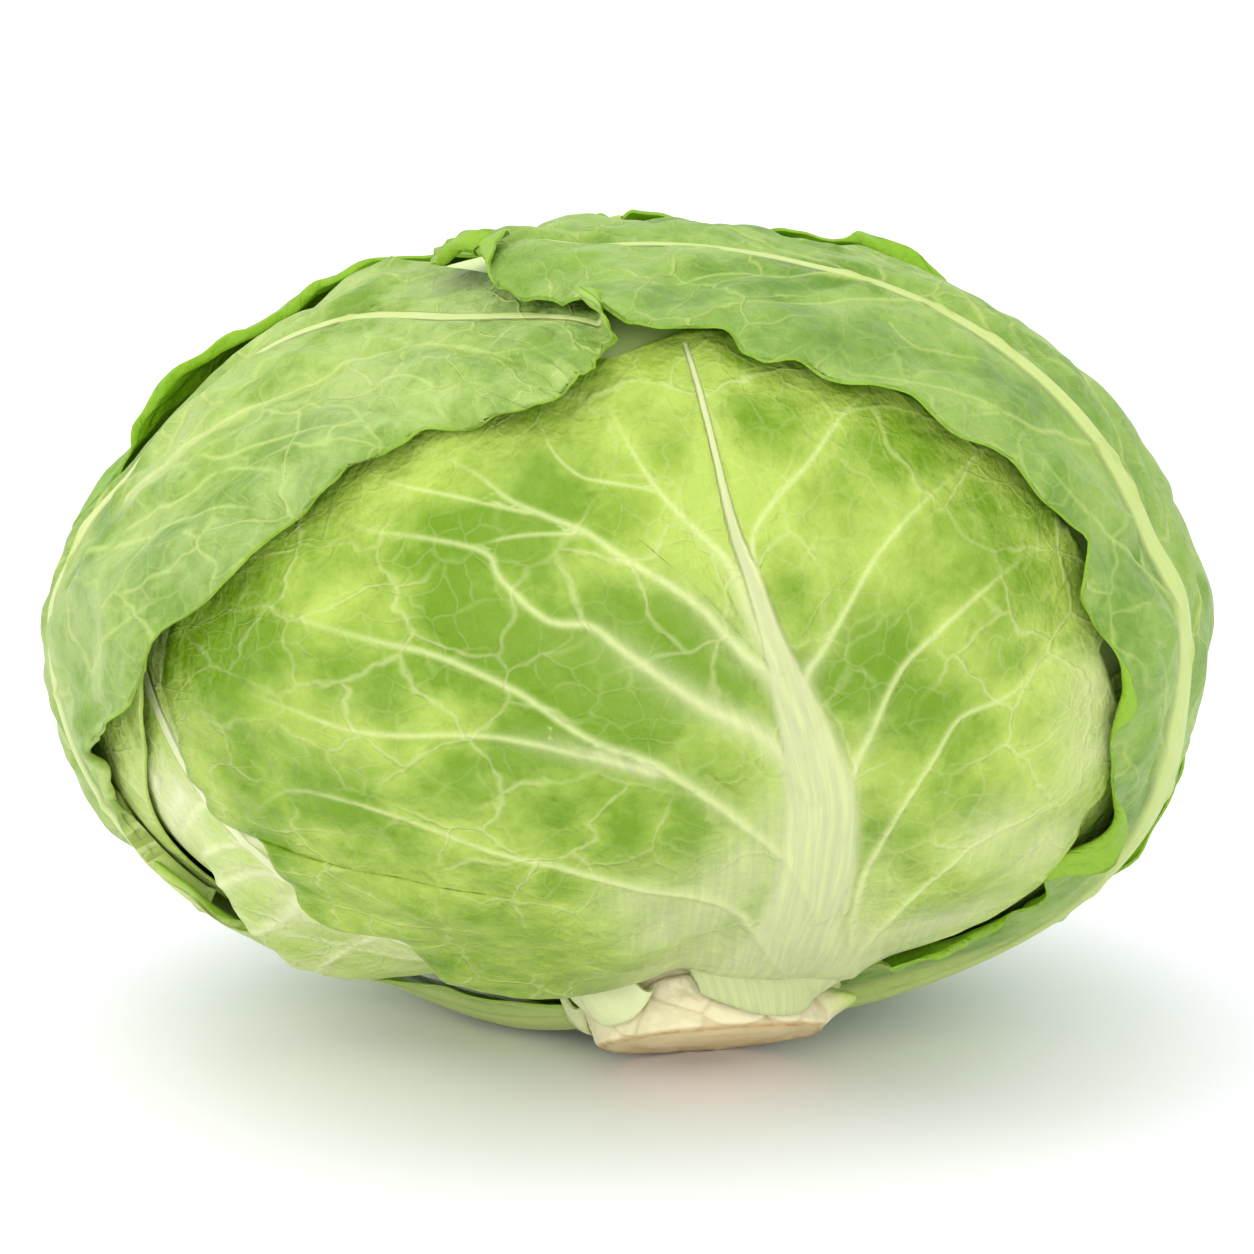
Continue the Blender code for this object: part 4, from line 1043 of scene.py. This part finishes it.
def stalk_finish(rim):
    """Cut cabbage stalk: moist cream flesh that has dried tan, with a browned rim and painted shade in the
    seams between the leaf bases.
    """
    material, add = new_material("cut_stalk_flesh")
    flesh, band, scar, seam_shade, stub = (
        linear(code) for code in ("#e8cf98", "#e9ddb2", "#e8dfb8", "#b89b62", "#b5cf5f"))
    place = add("TexCoord", out="Object")
    # Fibres of 2.4 mm and blotches of 11 mm
    fibres = add("TexNoise", {"Vector": place, "Scale": 420.0, "Detail": 5.0}, "Fac")
    blotch = add("TexNoise", {"Vector": place, "Scale": 90.0, "Detail": 4.0}, "Fac")
    cut_face, brown, crease, green = (
        add("Attribute", out="Fac", attribute_name=key) for key in ("cut_face", "brown", "crease", "green"))
    face = coated(add, flesh, ((blotch, band), (add("Math", (fibres, 0.35), **TIMES), rim)))
    worn = add("Math", (add("Math", (brown, fibres), **TIMES), 1.5), **TIMES)
    # The tan seam colour is painted shade where shadow falls between the leaf bases
    colour = coated(add, scar, (
        (blotch, band), (crease, seam_shade), (green, stub), (cut_face, face), (worn, rim)))
    bump = add("Bump", {"Height": fibres, "Distance": 0.0006, "Strength": 0.8})
    return surfaced(material, add, Base_Color=colour, Normal=bump, Roughness=0.6)


def heart_finish():
    """Pressed inner leaves: smooth pale flesh, mottled green and cream in patches of 17 mm."""
    material, add = new_material("pressed_inner_leaves")
    noise = add("TexNoise", {"Vector": add("TexCoord", out="Object"), "Scale": 60.0, "Detail": 5.0}, "Fac")
    colour = coated(add, linear("#a9c85a"), ((noise, linear("#dce9a6")),))
    bump = add("Bump", {"Height": noise, "Distance": 0.0006})
    return surfaced(material, add, Base_Color=colour, Normal=bump, Roughness=0.45)


def add_piece(name, mesh, material, node):
    """Object of a mesh that stands for a solid and takes its finish slot."""
    piece = bpy.data.objects.new(name, mesh)
    mesh.materials.append(material)
    bpy.context.scene.collection.objects.link(piece)
    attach(piece, "root")
    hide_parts(node)


def make_leaves(scene, *names):
    """Leaf pieces by their names, with the sizes and flesh colours that are set."""
    for name in names:
        order = [leaf["name"] for leaf in LEAVES].index(name)
        mesh = blade_mesh(name + "_blade", *leaf_shape(order, scene.cabbage_sizes))
        flesh = (tuple(getattr(scene.cabbage_colours, f"{name}_{shade}")) for shade in ("dark", "light"))
        slot, codes, numbers = LEAF_FINISHES[name]
        material = leaf_finish("fresh_cabbage_" + name, *flesh, *map(linear, codes[2:]), *numbers)
        add_piece(name + "_blade", mesh, material, name)


class CabbageSizes(bpy.types.PropertyGroup):
    """Sizes of the leaves."""

    blade: bpy.props.FloatProperty(
        name="Blade thickness", description="Thickness of a leaf away from its rib",
        default=0.0006, unit="LENGTH")
    vein: bpy.props.FloatProperty(
        name="Vein height", description="How far side veins stand out of the outer face",
        default=0.0010, unit="LENGTH")
    blister: bpy.props.FloatProperty(
        name="Blister height", description="Height of the soft bulges between the veins",
        default=0.0012, unit="LENGTH")
    ruffle: bpy.props.FloatProperty(
        name="Ruffle", description="How strongly the free margins wave",
        default=1.0, subtype="FACTOR")


class CabbageColours(bpy.types.PropertyGroup):
    """Colours of the leaves and of the stalk's rim."""

    stalk_rim: bpy.props.FloatVectorProperty(
        name="Stalk rim", description="Colour of the browned rim of the cut stalk",
        default=linear("#b08c50"), subtype="COLOR", size=4)


# Each leaf has its dark and its light flesh among the colours
for leaf_name, (_, leaf_codes, _) in LEAF_FINISHES.items():
    for shade, code in zip(("dark", "light"), leaf_codes):
        leaf_words = leaf_name.replace("_", " ").capitalize()
        CabbageColours.__annotations__[f"{leaf_name}_{shade}"] = bpy.props.FloatVectorProperty(
            name=f"{leaf_words}, {shade}", description=f"{leaf_words}: {shade} flesh between the veins",
            default=linear(code), subtype="COLOR", size=4)


class CabbageStage(bpy.types.PropertyGroup):
    """Camera and light of the stage."""

    distance: bpy.props.FloatProperty(
        name="Camera distance", description="From the camera to the head", default=0.95,
        unit="LENGTH")
    tilt: bpy.props.FloatProperty(
        name="Camera tilt", description="How far the camera looks down",
        default=math.radians(13.5), subtype="ANGLE")
    lens: bpy.props.FloatProperty(
        name="Lens", description="Focal length in mm on a 36 mm wide frame", default=143.7)
    light: bpy.props.FloatProperty(
        name="Light", description="Strength of the lamps", default=1.0)


class CABBAGE_OT_heart(bpy.types.Operator):
    """Dense inner leaves pressed into one flat ball"""

    bl_idname = "cabbage.heart"
    bl_label = "Heart"

    def execute(self, context):
        # Directions at each turn and tilt from the stem, stepped where one leaf ends on the next
        sides, count = 288, 150
        turns = np.radians(np.linspace(0.0, 360.0, sides, endpoint=False))
        tilts = np.radians(np.linspace(179.0, POCKET_MOUTH, count))[:, None]
        points = (
            (np.sin(tilts) * np.cos(turns))[..., None] * FRONT_AXIS
            + (np.sin(tilts) * np.sin(turns))[..., None] * RIGHT_AXIS
            + (np.cos(tilts) * np.ones(sides))[..., None] * STEM_AXIS
        )
        radius = heart_radius(points) - HEART_STEP * 2.0
        for turn, edge, rise in ((0.0, 118.0, 1.0), (140.0, 104.0, 0.8), (-110.0, 96.0, 0.7)):
            across, along = leaf_coordinates(turn, points)
            behind = edge - 0.012 * across ** 2 - along
            step = smooth_step(-2.0, 1.0, behind) * (1.0 - smooth_step(2.0, 60.0, behind))
            radius += HEART_STEP * rise * step
        radius = above_floor(points, radius, HEART_FLOOR)
        pocket = [ring(HEAD_CENTRE + STEM_AXIS * distance, FRONT_AXIS, RIGHT_AXIS, turns,
                       width + POCKET_AIR) for distance, width in STALK_PROFILE[4::-1]]
        rings = np.concatenate([HEAD_CENTRE + points * radius[..., None], np.array(pocket)])
        tip = HEAD_CENTRE - STEM_AXIS * (heart_radius(-STEM_AXIS) - HEART_STEP * 2.0)
        bottom = HEAD_CENTRE + STEM_AXIS * (STALK_PROFILE[0][0] - 0.0025)
        mesh = ring_mesh("heart_leaves", rings, tip, bottom, {})
        add_piece("heart_leaves", mesh, heart_finish(), "heart")
        return {"FINISHED"}


class CABBAGE_OT_stalk(bpy.types.Operator):
    """Cut stalk with leaf bases on its side, a browned rim and one leaf stub"""

    bl_idname = "cabbage.stalk"
    bl_label = "Stalk"

    def execute(self, context):
        # Rings up the stalk with the leaf bases added, then rings across the hollow cut face
        sides, levels, insets = 320, 130, 36
        turns = np.linspace(0.0, 2.0 * math.pi, sides, endpoint=False)
        profile = np.array(STALK_PROFILE)
        rows = np.linspace(0.0, len(profile) - 1.0, levels)
        distances = np.interp(rows, np.arange(len(profile)), profile[:, 0])
        radii = spline(profile[:, 1], rows)
        lumps, seam_shades, stub = self.leaf_bases(distances[:, None], turns[None, :])
        rings = np.array([ring(*stalk_frame(distance), turns, (radius + lump)[:, None])
                          for distance, radius, lump in zip(distances, radii, lumps)])
        last = rings[-1]
        middle = last.mean(axis=0)
        inset = np.linspace(0.02, 0.97, insets)[:, None]
        spread = 12.0 * (1.0 - inset)
        grain = soft_noise(np.cos(turns) * spread, np.sin(turns) * spread, 1.7, 4)
        hollow = 0.0006 * np.sin(math.pi * np.minimum(1.0, 2.5 * inset)) + 0.0002 * grain
        face = last + (middle - last) * inset[..., None] - CUT_AXIS * hollow[..., None]
        rings = np.concatenate([rings, face])
        rings[..., 2] = np.maximum(rings[..., 2], 0.0)
        brown = smooth_step(0.0792, 0.0802, distances)[:, None] * np.ones(sides)
        ragged = 0.07 + 0.05 * soft_noise(turns * 14.0, 0.0 * turns, 2.0, 8)
        bare = np.zeros((insets, sides))
        measures = {
            "cut_face": np.concatenate([np.zeros((levels, sides)), bare + 1.0]),
            "brown": np.concatenate([brown, 1.0 - smooth_step(0.0, 1.0, inset / ragged)]),
            # Share of painted shade in the seams between the leaf bases
            "crease": np.concatenate([seam_shades, bare]),
            "green": np.concatenate([stub, bare]),
        }
        first = HEAD_CENTRE + STEM_AXIS * (STALK_PROFILE[0][0] - 0.001)
        mesh = ring_mesh("cut_stalk", rings, first, rings[-1].mean(axis=0), measures)
        material = stalk_finish(tuple(context.scene.cabbage_colours.stalk_rim))
        add_piece("cut_stalk", mesh, material, "stalk")
        return {"FINISHED"}

    def leaf_bases(self, distance, turns):
        """Height of the overlapping leaf bases on the side, the painted shade of their seams and the green
        stub.

        Each base is a half round bump in turn and distance; the highest one shows, and a
        seam, darkened with painted shade, is where the two highest are nearly level.
        """
        random = np.random.default_rng(12)
        highest = np.full((distance.shape[0], turns.shape[1]), -1.0)
        second = highest.copy()
        for i in range(17):
            turn = 2.0 * math.pi * i / 17.0 + random.uniform(-0.12, 0.12)
            place = 0.0735 + 0.0042 * (i * 0.618 % 1.0)
            wide, tall = random.uniform(0.26, 0.44), random.uniform(0.0034, 0.0058)
            apart = (turns - turn + math.pi) % (2.0 * math.pi) - math.pi
            bump = 1.0 - (apart / wide) ** 2 - ((distance - place) / tall) ** 2
            second = np.maximum(second, np.minimum(highest, bump))
            highest = np.maximum(highest, bump)
        out = smooth_step(0.066, 0.070, distance)
        height = 0.0016 * np.sqrt(np.clip(highest, 0.0, 1.0)) - 0.0009
        # Painted shade in the seams, where two leaf bases meet
        seam_shades = 1.0 - smooth_step(0.0, 0.22, highest - np.maximum(second, 0.0))
        wrinkles = soft_noise(turns * 22.0 + 0.0 * distance, distance * 700.0 + 0.0 * turns, 1.3, 3)
        wrinkles *= 0.0002
        apart = (np.degrees(turns) - STUB_TURN + 180.0) % 360.0 - 180.0
        stub = np.exp(-((distance - 0.0752) / 0.0022) ** 2 - (apart / STUB_SPREAD) ** 4)
        return (height + wrinkles) * out + STUB_LENGTH * stub, 0.4 * seam_shades * out, stub


class CABBAGE_OT_low_leaves(bpy.types.Operator):
    """Leaves low beside the stalk and the narrow one at the left"""

    bl_idname = "cabbage.low_leaves"
    bl_label = "Low Leaves"

    def execute(self, context):
        make_leaves(context.scene, "low_left_leaf", "low_right_leaf", "side_leaf")
        return {"FINISHED"}


class CABBAGE_OT_front_leaf(bpy.types.Operator):
    """Bright leaf that faces the camera"""

    bl_idname = "cabbage.front_leaf"
    bl_label = "Front Leaf"

    def execute(self, context):
        make_leaves(context.scene, "front_leaf")
        return {"FINISHED"}


class CABBAGE_OT_wrapper_leaves(bpy.types.Operator):
    """Waxy leaves at the left, the right and behind"""

    bl_idname = "cabbage.wrapper_leaves"
    bl_label = "Wrapper Leaves"

    def execute(self, context):
        make_leaves(context.scene, "left_leaf", "right_leaf", "back_leaf")
        return {"FINISHED"}


class CABBAGE_OT_stage(bpy.types.Operator):
    """Pale floor, soft studio light and the camera"""

    bl_idname = "cabbage.stage"
    bl_label = "Stage"

    def execute(self, context):
        scene = context.scene
        settings = scene.cabbage_stage
        mesh = bpy.data.meshes.new("floor")
        corners = [(x * FLOOR_REACH, y * FLOOR_REACH, 0.0) for x, y in ((-1, -1), (1, -1), (1, 1), (-1, 1))]
        mesh.from_pydata(corners, [], [(0, 1, 2, 3)])
        floor = bpy.data.objects.new("floor", mesh)
        scene.collection.objects.link(floor)
        # Matt white paper: an even bright ground without gloss
        paper, add = new_material("matt_white_paper")
        mesh.materials.append(surfaced(paper, add, Base_Color=linear("#f6f5fd"), Roughness=0.9))
        scene.world = bpy.data.worlds.new("studio")
        scene.world.use_nodes = True
        background = scene.world.node_tree.nodes["Background"]
        background.inputs["Color"].default_value = (1.0, 1.0, 1.0, 1.0)
        background.inputs["Strength"].default_value = 1.22
        for name, place, width, power in LAMPS:
            lamp_data = bpy.data.lights.new(name, "AREA")
            lamp_data.size = width
            lamp_data.energy = power * settings.light
            lamp = bpy.data.objects.new(name, lamp_data)
            scene.collection.objects.link(lamp)
            lamp.location = place
            lamp.rotation_euler = (Vector(LAMPS_AIM) - Vector(place)).to_track_quat("-Z", "Y").to_euler()
        camera_data = bpy.data.cameras.new("camera")
        camera_data.sensor_width = 36.0
        camera_data.lens = settings.lens
        camera_data.clip_start = 0.05
        camera = bpy.data.objects.new("camera", camera_data)
        scene.collection.objects.link(camera)
        back = Vector((0.0, -math.cos(settings.tilt), math.sin(settings.tilt)))
        up = Vector((0.0, math.sin(settings.tilt), math.cos(settings.tilt)))
        camera.location = Vector(CAMERA_AIM) - up * CAMERA_DROP + back * settings.distance
        camera.rotation_euler = (-back).to_track_quat("-Z", "Y").to_euler()
        scene.camera = camera
        scene.view_settings.view_transform = "Standard"
        return {"FINISHED"}


PIECES = (CABBAGE_OT_heart, CABBAGE_OT_stalk, CABBAGE_OT_low_leaves, CABBAGE_OT_front_leaf,
          CABBAGE_OT_wrapper_leaves, CABBAGE_OT_stage)
GROUPS = {"cabbage_sizes": CabbageSizes, "cabbage_colours": CabbageColours, "cabbage_stage": CabbageStage}


class CABBAGE_PT_panel(bpy.types.Panel):
    """Buttons, sizes and colours of the cabbage head"""

    bl_idname = "CABBAGE_PT_panel"
    bl_label = "Cabbage Head"
    bl_space_type = "VIEW_3D"
    bl_region_type = "UI"
    bl_category = "Cabbage"

    def draw(self, context):
        for name, group in GROUPS.items():
            for key in group.__annotations__:
                self.layout.prop(getattr(context.scene, name), key)
        for piece in PIECES:
            self.layout.operator(piece.bl_idname)


CLASSES = tuple(GROUPS.values()) + PIECES + (CABBAGE_PT_panel,)


def register():
    for cls in CLASSES:
        bpy.utils.register_class(cls)
    for name, group in GROUPS.items():
        setattr(bpy.types.Scene, name, bpy.props.PointerProperty(type=group))


def unregister():
    for name in GROUPS:
        delattr(bpy.types.Scene, name)
    for cls in reversed(CLASSES):
        bpy.utils.unregister_class(cls)


def main():
    """Makes every piece and the stage."""
    register()
    for piece in PIECES:
        group, name = piece.bl_idname.split(".")
        getattr(getattr(bpy.ops, group), name)()


if __name__ == "__main__":
    main()
